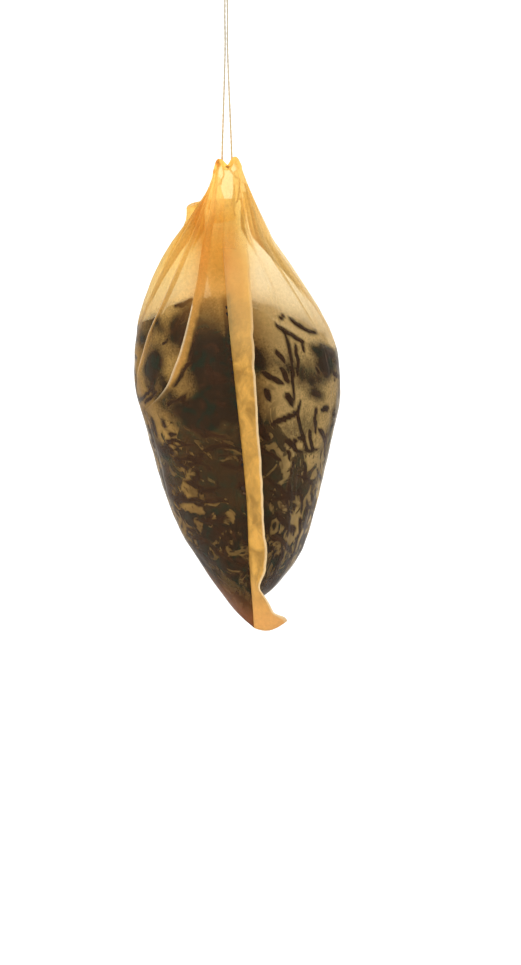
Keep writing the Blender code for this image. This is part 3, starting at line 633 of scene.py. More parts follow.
def unit(vectors):
    return vectors / np.maximum(np.linalg.norm(vectors, axis=-1), 1e-12)[..., None]


def lumps(point, size=1.0, shift=(0, 0, 0)):
    """Smooth noise from about -1 to 1, whose lumps have that size."""
    return noise.noise(Vector(np.asarray(point) / size) + Vector(shift))


def curve_through(x, xs, ys):
    """A smooth curve through the points (xs, ys), read at x."""
    xs, ys = np.asarray(xs, float), np.asarray(ys, float)
    slopes = np.gradient(ys, xs, axis=0)
    at = np.clip(np.searchsorted(xs, x) - 1, 0, len(xs) - 2)
    step = xs[at + 1] - xs[at]
    t = (np.asarray(x, float) - xs[at]) / step
    if ys.ndim > 1:
        t, step = t[..., None], step[..., None]
    return (
        (1 + 2 * t) * (1 - t) ** 2 * ys[at]
        + t * (1 - t) ** 2 * step * slopes[at]
        + t * t * (3 - 2 * t) * ys[at + 1]
        + t * t * (t - 1) * step * slopes[at + 1]
    )


def closed_curve(points, per_span):
    """Points along a smooth closed curve through the given ones."""
    points = np.asarray(points, float)
    t = np.linspace(0, 1, per_span, endpoint=False)[:, None]
    spans = []
    for i in range(len(points)):
        a, b, c, d = (points[(i + k) % len(points)] for k in (-1, 0, 1, 2))
        bend = 2 * a - 5 * b + 4 * c - d + t * (3 * b - a - 3 * c + d)
        spans.append(b + 0.5 * t * (c - a + t * bend))
    return np.concatenate(spans)


def length_to(line):
    """How far along the line each of its points lies."""
    steps = np.linalg.norm(np.diff(line, axis=0), axis=1)
    return np.concatenate([[0], np.cumsum(steps)])


def read_line(line, share):
    total = length_to(line)
    along = total / total[-1]
    return np.stack([np.interp(share, along, line[:, k]) for k in range(line.shape[1])], axis=-1)


def run_of(line, share, reach):
    """From a little behind that share of the line to a little ahead of it."""
    ahead, behind = (read_line(line, np.clip(share + r, 0, 1)) for r in (reach, -reach))
    return ahead - behind


def station_line(paper, side):
    """Half of the section at this paper height, from near seam to far seam, on side -1 or 1."""
    table = np.array(STATIONS)
    row = Station(*curve_through(np.array(paper), table[:, 0], table))
    turn = np.linspace(0, math.pi, 181)
    s, c = np.abs(np.sin(turn)), np.cos(turn)
    reach = np.where(c > 0, row.near, row.far)
    end_z = np.where(c > 0, row.near_z, row.far_z)
    x = row.seam_x * c * c + row.mid_x * s * s + side * max(row.half, 0.0) * s**row.point
    z = row.side_z + (end_z - row.side_z) * c * c - side * row.tilt * s * s
    return np.stack([x * TUBE_RADIUS, -reach * c * TUBE_RADIUS, z * POUCH_HEIGHT], axis=1)


def rim_line(side):
    """Half of the hem's channel on that side, with the spread of the paper there as a 4th value."""
    whole = closed_curve(RIM_ROUTE, RIM_PER_SPAN) * MM
    far = RIM_PER_SPAN * max(range(len(RIM_ROUTE)), key=lambda i: RIM_ROUTE[i][1])
    line = whole[: far + 1] if side < 0 else np.concatenate([whole[far:], whole[:1]])[::-1]
    line[:, 3] = np.clip(line[:, 3], 0, None)
    return line


def outward(line, share, side):
    """The level direction away from the pouch's axis, at that share of the line."""
    along = run_of(line, share, 0.01)
    away = np.stack([-along[:, 1], along[:, 0]], axis=1) * -side
    away[(share < 1e-6) | (share > 1 - 1e-6), 0] = 0
    return np.concatenate([unit(away), np.zeros((len(away), 1))], axis=1)


def rim_reach(depth, spread):
    """How far the paper's outer face stands from the channel's centre at the mouth."""
    return CHANNEL_HALF + spread - np.minimum(depth, np.clip(spread - TUCK_STOPS_SHORT, 0, None))


def rim_columns(side, share):
    """The channel's centre, its outward direction and the paper's spread there, by column."""
    line = rim_line(side)
    read = read_line(line, share)
    return read[:, :3], outward(line[:, :3], share, side), read[:, 3]


def above_channel(side, share):
    """The upward direction square to the hem's channel, which is steep beside the near seam."""
    along = unit(run_of(rim_line(side)[:, :3], share, 0.02))
    return unit(np.array([0, 0, 1.0]) - along * along[:, 2:])


def thread_in_hem(side):
    """The thread's points from the hook's end to the middle of the far side."""
    share = np.array(THREAD_IN_HEM)
    channel, away, _ = rim_columns(side, share)
    dip = (1 - smooth_step(share, *THREAD_RISES))[:, None]
    inward = (1 - smooth_step(share, THREAD_IN_HEM[0], THREAD_RISES[0]))[:, None]
    down = above_channel(side, share) * THREAD_DIP * dip
    return channel - down + away * (THREAD_OUTWARD * (1 - dip) - THREAD_DIP_INWARD * inward)


def thread_route():
    """Points round the whole loop of thread, measured from the top of the near seam."""
    base, join = HANG_LENGTH - LOOP_HEIGHT, HANG_LENGTH + STRANDS_JOIN_AT
    apart = STRAND_SPACING / 2
    strand = [
        (LOOP_HALF_WIDTH, 0, HANG_LENGTH - 0.3 * LOOP_HEIGHT),
        (0.6 * LOOP_HALF_WIDTH, 0, HANG_LENGTH - 0.7 * LOOP_HEIGHT),
        (apart, 0, base), (apart, 0, (base + join) / 2), (apart, 0.05 * MM, join),
    ]
    left = [(0, 0, HANG_LENGTH - THREAD_DIAMETER / 2)] + [(-x, y, z) for x, y, z in strand]
    left += [tuple(v * MM for v in point) for point in LEFT_INTO_HEM]
    right = strand + [tuple(v * MM for v in point) for point in RIGHT_INTO_HEM]
    left += list(thread_in_hem(-1))
    right += list(thread_in_hem(1)[:-1])
    return closed_curve(left + right[::-1], 12)


class MeshMaker:
    """Vertices, faces with their finish, and named values at the vertices."""

    def __init__(self, names):
        self.points, self.faces, self.finish = [], [], []
        self.values = {name: [] for name in names}

    def add_points(self, points, **values):
        """Adds the points, hung at their place, and returns the first one's number."""
        first = len(self.points)
        points = np.asarray(points, float).reshape(-1, 3)
        self.points.extend(points + HUNG)
        for name, given in self.values.items():
            given.extend(np.broadcast_to(np.ravel(values.get(name, 0.0)), len(points)))
        return first

    def add_face(self, corners, finish=0):
        kept = list(dict.fromkeys(corners))
        if len(kept) > 2:
            self.faces.append(kept)
            self.finish.append(finish)

    def join(self, low, high, finish=0, flip=False):
        """Faces round between two closed rows of points, which are given by their numbers."""
        for j in range(len(low)):
            k = (j + 1) % len(low)
            a, b, c, d = low[j], low[k], high[k], high[j]
            self.add_face([a, d, c, b] if flip else [a, b, c, d], finish)

    def make(self, name, finishes):
        mesh = bpy.data.meshes.new(name)
        mesh.from_pydata([tuple(p) for p in self.points], [], self.faces)
        for finish in finishes:
            mesh.materials.append(finish)
        mesh.polygons.foreach_set("material_index", self.finish)
        for label, given in self.values.items():
            mesh.attributes.new(label, "FLOAT", "POINT").data.foreach_set("value", given)
        mesh.shade_smooth()
        mesh.update()
        made = bpy.data.objects.new(name, mesh)
        bpy.context.scene.collection.objects.link(made)
        return made


# The paper

def side_columns(side):
    """(panel, share of it) or (tuck, point of its fold), from near seam to far seam."""
    made = [("panel", 0, 0.0)]
    for i, count in enumerate(PANEL_COLUMNS[side]):
        made += [("panel", i, (k + 1) / (count + 1)) for k in range(count)]
        if i < len(TUCKS[side]):
            made += [("tuck", i, k) for k in range(FOLD_POINTS)]
    return made + [("panel", len(TUCKS[side]), 1.0)]


def up_tuck(tuck, paper):
    """The share of the tuck's height reached there, below 0 under its foot."""
    return 1 - (1 - paper) / (1 - tuck.path[0][0])


def fold_profile(tuck, creased, gathered, centre):
    """(share of the way round, share of the depth, fixed depth) at each point of a fold."""
    half = 0.5 * tuck.slit * MM / TUBE_HALF * (SLIT_OPENS_TO - (SLIT_OPENS_TO - 1) * creased)
    lean = tuck.lean * MM / TUBE_HALF * creased
    beyond = tuck.reach * MM / TUBE_HALF * creased
    bend = FOLD_ROUND / TUBE_HALF * creased
    lip, deep, end = centre - half, centre - lean, centre + half + beyond
    made = [(lip, 0.0, 0.0), (lip + 0.9 * bend, 0.0, 0.35), (lip + 0.75 * bend, 0.0, 1.2)]
    made += [(lip + (deep - lip) * f, f, 1.6 * (1 - f)) for f in (0.35, 0.75)]
    made += [(deep - 0.8 * bend, 0.93, 0.0), (deep, 1.0, 0.0)]
    for f in (0.14, 0.34, 0.56, 0.8, 1.0):
        made.append((deep + (end - deep) * f, (1 - f) ** 1.7, 0.0))
    return made, lip, end


def column_places(paper, side):
    """Each column's share of the way round, how deep it is folded in, and how much it puffs."""
    columns, folds, depths = side_columns(side), [], []
    for t in TUCKS[side]:
        up_it = up_tuck(t, paper)
        creased = float(smooth_step(up_it, *CREASES))
        gathered = float(smooth_step(up_it, 0.25, 0.85))
        centre = float(curve_through(np.array(max(paper, t.path[0][0])), *zip(*t.path)))
        folds.append(fold_profile(t, creased, gathered, centre))
        depths.append((t.crease * creased + (t.depth - t.crease) * gathered, creased))
    starts = [0.0] + [end for _, _, end in folds]
    ends = [lip for _, lip, _ in folds] + [1.0]
    made = []
    for kind, i, f in columns:
        if kind == "tuck":
            place, part, fixed = folds[i][0][f]
            deep, creased = depths[i]
            made.append((place, (deep * part + fixed * FOLD_ROUND / MM * creased) * MM, 0.0))
        else:
            made.append((starts[i] + f * (ends[i] - starts[i]), 0.0, math.sin(math.pi * f)))
    share, depth, puff = np.array(made).T
    even = np.arange(len(columns)) / (len(columns) - 1)
    return even + (share - even) * smooth_step(paper, 0, EVEN_COLUMNS_BELOW), depth, puff


def dents(paper, share, points):
    """How far wet paper stands in or out: sunk between leaves, and finely pleated at the neck."""
    over_leaf = rise_and_fall(paper, (0.02, 0.10), (0.66, 0.74))
    below_hem = 1 - smooth_step(paper, 0.84, 0.92)
    pleated = rise_and_fall(paper, (0.66, 0.80), (0.93, 1.0))
    out = []
    for point, place in zip(points, share):
        total = below_hem * DENT_BROAD * lumps(point, DENT_BROAD_SIZE, (5, 1, 3))
        if over_leaf > 0:
            total += over_leaf * DENT * lumps(point, DENT_SIZE)
            total += over_leaf * DENT_FINE * lumps(point, DENT_FINE_SIZE)
        if pleated > 0:
            across = place * TUBE_HALF / PLEAT_SIZE
            ridge = 1 - abs(2 * lumps((across, paper * 5.0, 3.7 * np.sign(point[0]))))
            total += pleated * PLEAT * (ridge - 0.5)
        out.append(total)
    return np.array(out)


def side_row(paper, side, places=None):
    """The pouch's outer face at this paper height, on one side, column by column."""
    if places is None:
        share, depth, puff = column_places(paper, side)
    else:
        share, depth, puff = places, np.zeros(len(places)), np.zeros(len(places))
    ring = station_line(min(paper, GATHER_FROM), side)
    points = read_line(ring, share)
    relief = dents(paper, share, points)
    puff = puff * PANEL_PUFF * smooth_step(paper, 0.55, 0.9)
    points = points + outward(ring, share, side) * (puff - depth + relief)[:, None]
    gathered = (paper - GATHER_FROM) / (1 - GATHER_FROM)
    if gathered > 0:
        channel, rim_away, spread = rim_columns(side, share)
        rim = channel + rim_away * (rim_reach(depth, spread) + 0.4 * relief)[:, None]
        points = points + (rim - points) * gathered
    return points


def hook_rows(side):
    """The outer face carried on over the thread and down the inside of the mouth."""
    share, depth, _ = column_places(1.0, side)
    channel, away, spread = rim_columns(side, share)
    outside = rim_reach(depth, spread)
    inside = CHANNEL_HALF + RIM_SPREAD_INSIDE * (1 - smooth_step(depth, 0, 0.3 * MM))
    shut = -CHANNEL_HALF + PAPER + FLAP_GAP
    inside = shut + (inside - shut) * smooth_step(share, *HOOK_OPENS)
    flap = FLAP_AT_SEAM + (FLAP - FLAP_AT_SEAM) * smooth_step(share, *FLAP_LENGTHENS)
    middle, half = (outside - inside) / 2, (outside + inside) / 2
    up = above_channel(side, share)
    rows = []
    for angle in range(18, 180, 18):
        turn = math.radians(angle)
        reach = middle + half * math.cos(turn)
        rows.append(channel + away * reach[:, None] + up * RIM_RISE * math.sin(turn))
    for down in (0, 0.25, 0.5, 0.75, 1):
        rows.append(channel - away * inside[:, None] - up * (flap * down)[:, None])
    return rows


def round_the_pouch(left, right):
    """One ring of columns: near seam, left side, far seam, right side back to the start."""
    return np.concatenate([left, right[-2:0:-1]])


def grid_normals(grid):
    """Unit normals on the outer side of a grid that closes on itself from column to column."""
    round_it = np.roll(grid, -1, axis=1) - np.roll(grid, 1, axis=1)
    return unit(np.cross(np.gradient(grid, axis=0), round_it))


def inside_face(grid, heights, half):
    """The other face of the sheet, one paper thickness in."""
    inner = grid - grid_normals(grid) * PAPER
    for r in np.flatnonzero(heights <= NEARLY_FLAT_BELOW):
        left = grid[r, : half + 1]
        right = np.concatenate([grid[r, half:], grid[r, :1]])[::-1]
        for j, own in enumerate(grid[r]):
            other = right if j <= half else left
            middle_x = (own[0] + np.interp(own[1], other[:, 1], other[:, 0])) / 2
            across = own[0] - middle_x
            kept = max(abs(across) - PAPER, 0.45 * abs(across))
            inner[r, j, 0] = middle_x + math.copysign(kept, across)
            inner[r, j, 1] = own[1] * (1 - 2 * PAPER / abs(grid[r, 0, 1]))
            inner[r, j, 2] = own[2] + 2 * PAPER * max(0.0, 1 - heights[r] / 0.03)
        inner[r, [0, half], 0] = grid[r, [0, half], 0]
    return inner


def fold_highlight_and_shade(paper):
    """How much painted highlight each column gets at that height, or, below 0, how much painted
    shade in the folds.

    The sharp edges of the two long left folds get a pale painted highlight, and the deep folds and
    the gathered spout a deep orange painted shade.
    """
    sides = []
    for side, foot, reach in ((-1, 0.62, 0.16), (1, 0.68, 0.10)):
        spout = rise_and_fall(paper, (foot, 0.79), (0.86, 0.94))
        made = []
        for (kind, i, f), place in zip(side_columns(side), column_places(paper, side)[0]):
            tuck = TUCKS[side][i] if kind == "tuck" else None
            up_it = up_tuck(tuck, paper) if tuck else 0
            # Painted shade on the spout and deep in each fold, none on its inner side, and a
            # painted highlight on its edge.
            if tuck is None or f > 7:
                made.append(-spout * math.exp(-((place / reach) ** 4)))
            elif f > 4:
                made.append(-smooth_step(up_it, 0.5, 0.75) * (1 - smooth_step(paper, 0.9, 1)))
            elif f > 1:
                made.append(0.0)
            elif tuck.lean < 1:
                made.append(0.35 * smooth_step(up_it, 0.1, 0.4))
            else:
                made.append(smooth_step(up_it, 0, 0.15) * (1 - smooth_step(paper, 0.8, 0.95)))
        sides.append(np.array(made))
    return round_the_pouch(*sides)


def beside_spout(points):
    """How much painted shade each point gets in the hollow left of the spout, from 0 to 1."""
    x, y, z = points.T / MM
    hollow = rise_and_fall(-x, (3.6, 4.4), (5.6, 8.5))
    return hollow * np.exp(-(((z + 15) / 6.5) ** 2)) * (y < 0)


def fold_bands(paper):
    """Where the sheet lies folded on itself: the folds, and the panel that covers each one."""
    sides = []
    for side in (-1, 1):
        places, columns = column_places(paper, side)[0], side_columns(side)
        made = np.zeros(len(columns))
        for i, tuck in enumerate(TUCKS[side]):
            creased = smooth_step(up_tuck(tuck, paper), *CREASES)
            if creased > 0 and tuck.lean > 1:
                in_it = [kind == "tuck" and k == i and f <= 7 for kind, k, f in columns]
                under = (places[columns.index(("tuck", i, 0))] - places) * TUBE_HALF
                over_it = rise_and_fall(under / (tuck.lean * MM), (-0.01, 0.02), (0.8, 1.0))
                made = np.maximum(made, np.maximum(in_it, over_it) * creased)
        sides.append(made)
    return round_the_pouch(*sides)


def fin_rows(roots, heights, lifts, toward):
    """The strip's upper face, from its root out, row by row, with the ripple of wet paper."""
    side, front = np.array([toward, 0, 0]), np.array([0, -toward, 0])
    rows = []
    for root, height in zip(roots, heights):
        angle = math.radians(float(curve_through(height, *zip(*lifts))))
        run = math.cos(angle) * side + math.sin(angle) * front
        face = -math.sin(angle) * side + math.cos(angle) * front
        corner = 1 - smooth_step(height, 0, CORNER_TAB_BELOW)
        top = smooth_step(height, FIN_NARROWS_FROM, FIN_TOP)
        width = SEAM_WIDTH + (CORNER_TAB - SEAM_WIDTH) * corner
        width += (FIN_TOP_WIDTH - SEAM_WIDTH) * top
        free = lumps((height * 16, toward * 2.0, 0.3))
        fine = lumps((height * 55, toward * 2.0, 4.3))
        width *= 1 + (0.05 * free + 0.045 * fine) * (1 - corner)
        row = []
        for share in np.arange(FIN_COLUMNS + 1) / FIN_COLUMNS:
            curl = CORNER_CURL * corner * (share**2 - 0.45 * math.sin(math.pi * share))
            ripple = lumps((height * 9, share * 1.3, toward * 5.0))
            crinkle = lumps((height * 34, share * 2.1, toward * 7.0))
            lift = (0.60 * ripple + 0.30 * crinkle) * MM * share * (1 - 0.5 * corner)
            row.append(root + run * width * share + face * (lift + STRIP * 0.5) + (0, 0, curl))
        rows.append(row)
    return np.array(rows)


def add_strip(maker, roots, heights, lifts, toward):
    """A seam strip of its own thickness, closed all round."""
    over = fin_rows(roots, heights, lifts, toward)
    faces = unit(np.cross(np.gradient(over, axis=0), np.gradient(over, axis=1)) * toward)
    if faces[..., 1].mean() * toward > 0:
        faces = -faces
    # The outer tenth of the strip's width, at its free edge, carries a painted highlight.
    edge = smooth_step(np.linspace(0, 1, FIN_COLUMNS + 1), 0.90, 1.0)
    top, low = (
        [maker.add_points(row, edge=edge, up=height) for row, height in zip(grid, heights)]
        for grid in (over, over - faces * STRIP)
    )

    def face(*corners):
        maker.add_face(corners[::-1] if toward < 0 else corners, 2)

    for t, t_up, b, b_up in zip(top, top[1:], low, low[1:]):
        for k in range(FIN_COLUMNS):
            face(t + k, t + k + 1, t_up + k + 1, t_up + k)
            face(b_up + k, b_up + k + 1, b + k + 1, b + k)
        face(t, t_up, b_up, b)
        face(*(row + FIN_COLUMNS for row in (b, b_up, t_up, t)))
    for k in range(FIN_COLUMNS):
        face(low[0] + k, low[0] + k + 1, top[0] + k + 1, top[0] + k)
        face(top[-1] + k, top[-1] + k + 1, low[-1] + k + 1, low[-1] + k)


def make_pouch():
    """The sheet with its two faces, hook and strips, not yet marked by the leaf behind it."""
    # Rows lie closer together at the bottom fold.
    heights = np.concatenate([np.linspace(0, 0.05, 9), np.linspace(0.05, 1.0, PAPER_ROWS - 8)[1:]])
    rows = [round_the_pouch(side_row(h, -1), side_row(h, 1)) for h in heights]
    rows += [round_the_pouch(a, b) for a, b in zip(hook_rows(-1), hook_rows(1))]
    grid = np.array(rows)
    columns = grid.shape[1]
    half = len(side_columns(-1)) - 1
    inner = inside_face(grid, heights, half)
    maker = MeshMaker(["contact", "pressed", "backed", "up", "lip", "folded", "bend", "edge"])
    sides = [np.array([kind == "tuck" for kind, _, _ in side_columns(s)], float) for s in (-1, 1)]
    bend = round_the_pouch(*sides)
    # At the bottom fold the right side's columns meet the left side's.
    twins = [j if j <= half else round((columns - j) / (columns - half) * half)
             for j in range(columns)]
    outer_ids = [maker.add_points(grid[0, : half + 1]) + np.array(twins)]
    inner_ids = [maker.add_points(inner[0, : half + 1]) + np.array(twins)]
    for r in range(1, len(grid)):
        up = heights[r] if r < len(heights) else 1.0
        # Painted shade in the hollow left of the spout goes in with the fold marks.
        hollow = beside_spout(grid[r])
        lip = fold_highlight_and_shade(up)
        lip = np.where(hollow > 0.02, np.minimum(lip, -hollow), lip)
        first = maker.add_points(grid[r], up=up, lip=lip, folded=fold_bands(up), bend=bend)
        outer_ids.append(first + np.arange(columns))
        inner_ids.append(maker.add_points(inner[r], up=up) + np.arange(columns))
    for r in range(len(grid) - 1):
        maker.join(outer_ids[r], outer_ids[r + 1])
        maker.join(inner_ids[r], inner_ids[r + 1], 1, flip=True)
    maker.join(outer_ids[-1], inner_ids[-1])
    tall = heights[heights <= FIN_TOP + 1e-6]
    for seam, lifts, toward in ((0, NEAR_FIN_LIFT, 1.0), (half, FAR_FIN_LIFT, -1.0)):
        add_strip(maker, grid[: len(tall), seam], tall, lifts, toward)
    return maker


# The leaf

class PaperMap:
    """Points just inside the paper, read by height up the paper and place round it.

    The place runs from -1 at the far seam, left round to 0 at the near seam, to 1 at the far seam.
    """

    def __init__(self):
        self.heights = np.linspace(0.0, 0.90, 91)
        shares = np.linspace(0.0, 1.0, 71)
        rows = [round_the_pouch(side_row(h, -1, shares), side_row(h, 1, shares))
                for h in self.heights]
        grid = np.array(rows)
        last = len(shares) - 1
        order = list(range(last, -1, -1)) + list(range(grid.shape[1] - 1, last - 1, -1))
        self.grid, self.normals = grid[:, order], grid_normals(grid)[:, order]

    def read(self, height, place):
        place = (np.asarray(place) + 1) % 2 - 1
        r = np.clip(height, 0.004, 0.895) / self.heights[1]
        c = (place + 1) / 2 * (self.grid.shape[1] - 1)
        r0 = np.clip(r.astype(int), 0, self.grid.shape[0] - 2)
        c0 = np.clip(c.astype(int), 0, self.grid.shape[1] - 2)
        fr, fc = (r - r0)[:, None], (c - c0)[:, None]

        def mixed(table):
            low = table[r0, c0] * (1 - fc) + table[r0, c0 + 1] * fc
            high = table[r0 + 1, c0] * (1 - fc) + table[r0 + 1, c0 + 1] * fc
            return low * (1 - fr) + high * fr

        return mixed(self.grid), unit(mixed(self.normals))

    def room(self, height, place):
        """Half the pouch's width across, where the two sides come close at the bottom fold."""
        here, there = self.read(height, place)[0], self.read(height, -np.asarray(place))[0]
        return np.linalg.norm(here - there, axis=1) / 2


class PaperInside:
    """How far in the innermost layer of paper lies, folds and dents and all."""

    def __init__(self, pouch):
        points = [tuple(p - HUNG) for p in pouch.points]
        self.tree = BVHTree.FromPolygons(points, pouch.faces)

    def depth(self, at, out, room):
        found = np.zeros(len(at))
        for k, start in enumerate(np.minimum(5 * MM, 0.85 * room)):
            origin = Vector(at[k] - out[k] * start)
            _, _, _, distance = self.tree.ray_cast(origin, Vector(out[k]), start + 1 * MM)
            if distance is not None:
                found[k] = start - distance
        return found


def lay_leaf(maker, paper, inside, run, width, offset, tone, twist, thick):
    """One leaf, rolled into a tapering strip, laid along the inside of the paper.

    run is its heights and places. The lengths that follow are in mm.
    """
    width, offset, thick = width * MM, offset * MM, thick * MM
    heights, places = np.clip(run[0], *LEAF_HEIGHTS), run[1]
    rings, sides = len(heights), LEAF_SIDES
    at, out = paper.read(heights, places)
    room = paper.room(heights, places)
    inset = inside.depth(at, out, room)
    inset[1:-1] = np.maximum(inset[1:-1], (inset[:-2] + inset[1:-1] + inset[2:]) / 3)
    inset = inset + offset + thick / 2
    inset = np.minimum(inset, np.maximum(room - thick * 0.6, 0.0))
    centre = at - out * inset[:, None]
    along = unit(np.gradient(centre, axis=0))
    across = unit(np.cross(along, out))
    out = np.cross(across, along)
    t = np.linspace(-0.5, 0.5, rings)
    taper = np.clip(1 - np.abs(2 * t) ** 4.5, 0.0, 1) ** 0.6 * 0.72 + 0.28
    taper = taper * (1 + 0.42 * np.array([lumps(p, 1.1 * MM) for p in centre]))
    sway = np.array([lumps(p, 1.6 * MM, (7, 0, 0)) for p in centre])
    centre = centre + across * (sway * 0.45 * MM)[:, None]
    points = []
    for i in range(rings):
        turn = twist * t[i]
        for k in range(sides):
            a = 2 * math.pi * k / sides
            u = 0.5 * width * taper[i] * math.cos(a)
            v = 0.5 * thick * (0.5 + 0.5 * taper[i]) * math.sin(a)
            u, v = u * math.cos(turn) - v * math.sin(turn), u * math.sin(turn) + v * math.cos(turn)
            # The leaf's broad side lies against the paper and its curl turns away from it.
            v -= 0.10 * (u * u) / (0.5 * width)
            points.append(centre[i] + across[i] * u + out[i] * v)
    ids = maker.add_points(points, tone=tone) + np.arange(rings * sides).reshape(rings, sides)
    for low, high in zip(ids, ids[1:]):
        maker.join(low, high)
    maker.add_face(ids[0, ::-1])
    maker.add_face(ids[-1])


def arc(height, place, angle, length, bend):
    """Heights and places along a curved leaf, from its middle, direction, length and bend."""
    heading = angle + bend * np.linspace(-0.5, 0.5, ARC_RINGS)
    step = length * MM / (ARC_RINGS - 1)
    run = []
    for turned in (np.sin, np.cos):
        moved = np.concatenate([[0], np.cumsum(turned((heading[1:] + heading[:-1]) / 2))]) * step
        run.append(moved - moved[ARC_RINGS // 2])
    heights = height + run[0] / POUCH_HEIGHT
    places = place + run[1] / TUBE_HALF
    return np.minimum(heights, [pile_top(p) - 0.02 for p in places]), places


def through_points(points):
    """Heights and places along a leaf through its given points."""
    total = length_to(points * [POUCH_HEIGHT, TUBE_HALF])
    along, t = total / total[-1], np.linspace(0, 1, SHOWN_RINGS)
    read = np.interp if len(points) == 2 else curve_through
    return read(t, along, points[:, 0]), read(t, along, points[:, 1])


def pile_top(place):
    """How high the leaf lies against the paper round the pouch."""
    x, y = math.cos(math.pi * place), math.sin(math.pi * place)
    ragged = 0.012 * lumps((x * 5, y * 5, 0.4))
    return LEAF_TOP + LEAF_HIGHER_NEAR * x - LEAF_LOWER_RIGHT * y + ragged


def pressed(height, place):
    """How hard the heap presses on the paper there, from 0 to 1."""
    total = sum(math.exp(-(((height - h) / tall) ** 2) - ((place - p) / wide) ** 2)
                for h, p, tall, wide in PRESSED)
    behind = smooth_step(abs(place), 0.42, 0.55)
    if behind > 0:
        swell = lumps((place * 6.5, height * 6.0, 1.7))
        total += behind * smooth_step(swell, -0.05, 0.25)
    return 1 - math.exp(-1.6 * total)


def add_core(maker, paper, inside):
    """The mass of leaf behind the leaves that show: a dark lumpy body under a mounded top."""
    places = np.linspace(-1, 1, CORE_COLUMNS, endpoint=False)
    ids = []
    tops = np.array([pile_top(p) for p in places]) + 0.002
    for r in range(CORE_ROWS):
        heights = CORE_FOOT + (tops - CORE_FOOT) * r / (CORE_ROWS - 1)
        at, out = paper.read(heights, places)
        room = paper.room(heights, places)
        looser = 0.5 + 0.5 * smooth_step(heights, 0.36, 0.50)
        inset = inside.depth(at, out, room)
        for j, point in enumerate(at):
            lump = min(max(0.4 + 1.5 * lumps(point, LEAF_LUMP_SIZE, (9, 2, 1)), 0.0), 1.0)
            fine = lumps(point, 1.9 * MM)
            free = (0.40 * MM + LEAF_LUMP * lump) * looser[j] + 0.30 * MM * fine
            close = 0.05 * MM + 0.06 * MM * fine
            hard = pressed(heights[j], places[j])
            inset[j] += max(free + (close - free) * hard, 0.02 * MM)
        ring = at - out * np.minimum(inset, 0.8 * room)[:, None]
        low = 1 - smooth_step(heights, 0.04, 0.30)
        ring[:, 1] *= 1 - low * 1.6 * MM / np.abs(at[:, 1]).max()
        ids.append(maker.add_points(ring, tone=0.05) + np.arange(CORE_COLUMNS))
    centre, brim = ring.mean(axis=0), ring
    for share, rise in ((0.86, 0.9), (0.66, 2.0), (0.42, 2.8), (0.20, 3.2)):
        ring = centre + (brim - centre) * share
        ring[:, 2] += (rise + np.array([0.9 * lumps(p, 4 * MM) for p in ring])) * MM
        ids.append(maker.add_points(ring, tone=0.25) + np.arange(CORE_COLUMNS))
    top = maker.add_points(centre + (0, 0, 3.3 * MM), tone=0.25)
    for low, high in zip(ids, ids[1:]):
        maker.join(low, high, flip=True)
    for j in range(CORE_COLUMNS):
        maker.add_face([ids[-1][j], top, ids[-1][(j + 1) % CORE_COLUMNS]])
    for j in range(CORE_COLUMNS // 2):
        maker.add_face([ids[0][k] for k in (j, j + 1, -j - 1, -j)])


def make_leaf(paper, inside):
    maker = MeshMaker(["tone"])
    add_core(maker, paper, inside)
    core_faces = len(maker.faces)
    rng = random.Random(LEAF_SEED)
    for width, *points in SHOWN_LEAVES:
        run = through_points(np.reshape(points, (-1, 2)) / 1000)
        lay_leaf(maker, paper, inside, run, width * SHOWN_WIDER, 0.0,
                 rng.uniform(0.0, 0.6), rng.uniform(-0.3, 0.3), 0.34)
    for _ in range(LEAVES_AT_PAPER):
        place = rng.uniform(-1, 1)
        height = rng.uniform(0.045, pile_top(place))
        length = rng.uniform(3.5, 10.0)
        near = 0.02 if rng.random() < 0.62 else rng.uniform(0.25, 0.9)
        angle, bend = rng.uniform(0, math.pi), rng.uniform(-1.3, 1.3)
        width = rng.uniform(0.55, 1.35) * (0.8 + 0.03 * length)
        tone, twist, thick = rng.random() ** 1.4, rng.uniform(-0.9, 0.9), rng.uniform(0.3, 0.42)
        # Where the leaves placed after the photograph show, the others keep back.
        if abs(place) < 0.42 and height > 0.44:
            near = 0.45 + 0.7 * rng.random()
        run = arc(height, place, angle, length, bend)
        lay_leaf(maker, paper, inside, run, width, near, tone, twist, thick)
    for _ in range(LEAVES_DEEPER):
        place = rng.uniform(-1, 1)
        height = rng.uniform(0.05, pile_top(place) + 0.005)
        run = arc(height, place, rng.uniform(0, math.pi), rng.uniform(3, 8), rng.uniform(-1, 1))
        lay_leaf(maker, paper, inside, run, rng.uniform(0.8, 1.7), rng.uniform(0.7, 1.4),
                 rng.uniform(0.4, 1.0), rng.uniform(-1.6, 1.6), rng.uniform(0.35, 0.5))
    return maker, core_faces


def mark_contact(pouch, leaf, core_faces):
    """How closely each point of the paper lies on single leaves and on the heap behind them."""
    points = [tuple(p) for p in leaf.points]
    heap = BVHTree.FromPolygons(points, leaf.faces[:core_faces])
    leaves = BVHTree.FromPolygons(points, leaf.faces[core_faces:])
    for i, point in enumerate(pouch.points):
        _, _, _, distance = leaves.find_nearest(Vector(point), 2 * MM)
        if distance is not None:
            gap = max(0.0, distance - PAPER)
            pouch.values["contact"][i] = math.exp(-gap / (0.22 * MM))
        _, _, _, distance = heap.find_nearest(Vector(point), 9 * MM)
        if distance is not None:
            gap = max(0.0, distance - PAPER)
            pouch.values["pressed"][i] = math.exp(-gap / (0.75 * MM))
            pouch.values["backed"][i] = 1 / (1 + (gap / (3.2 * MM)) ** 2)


# The thread

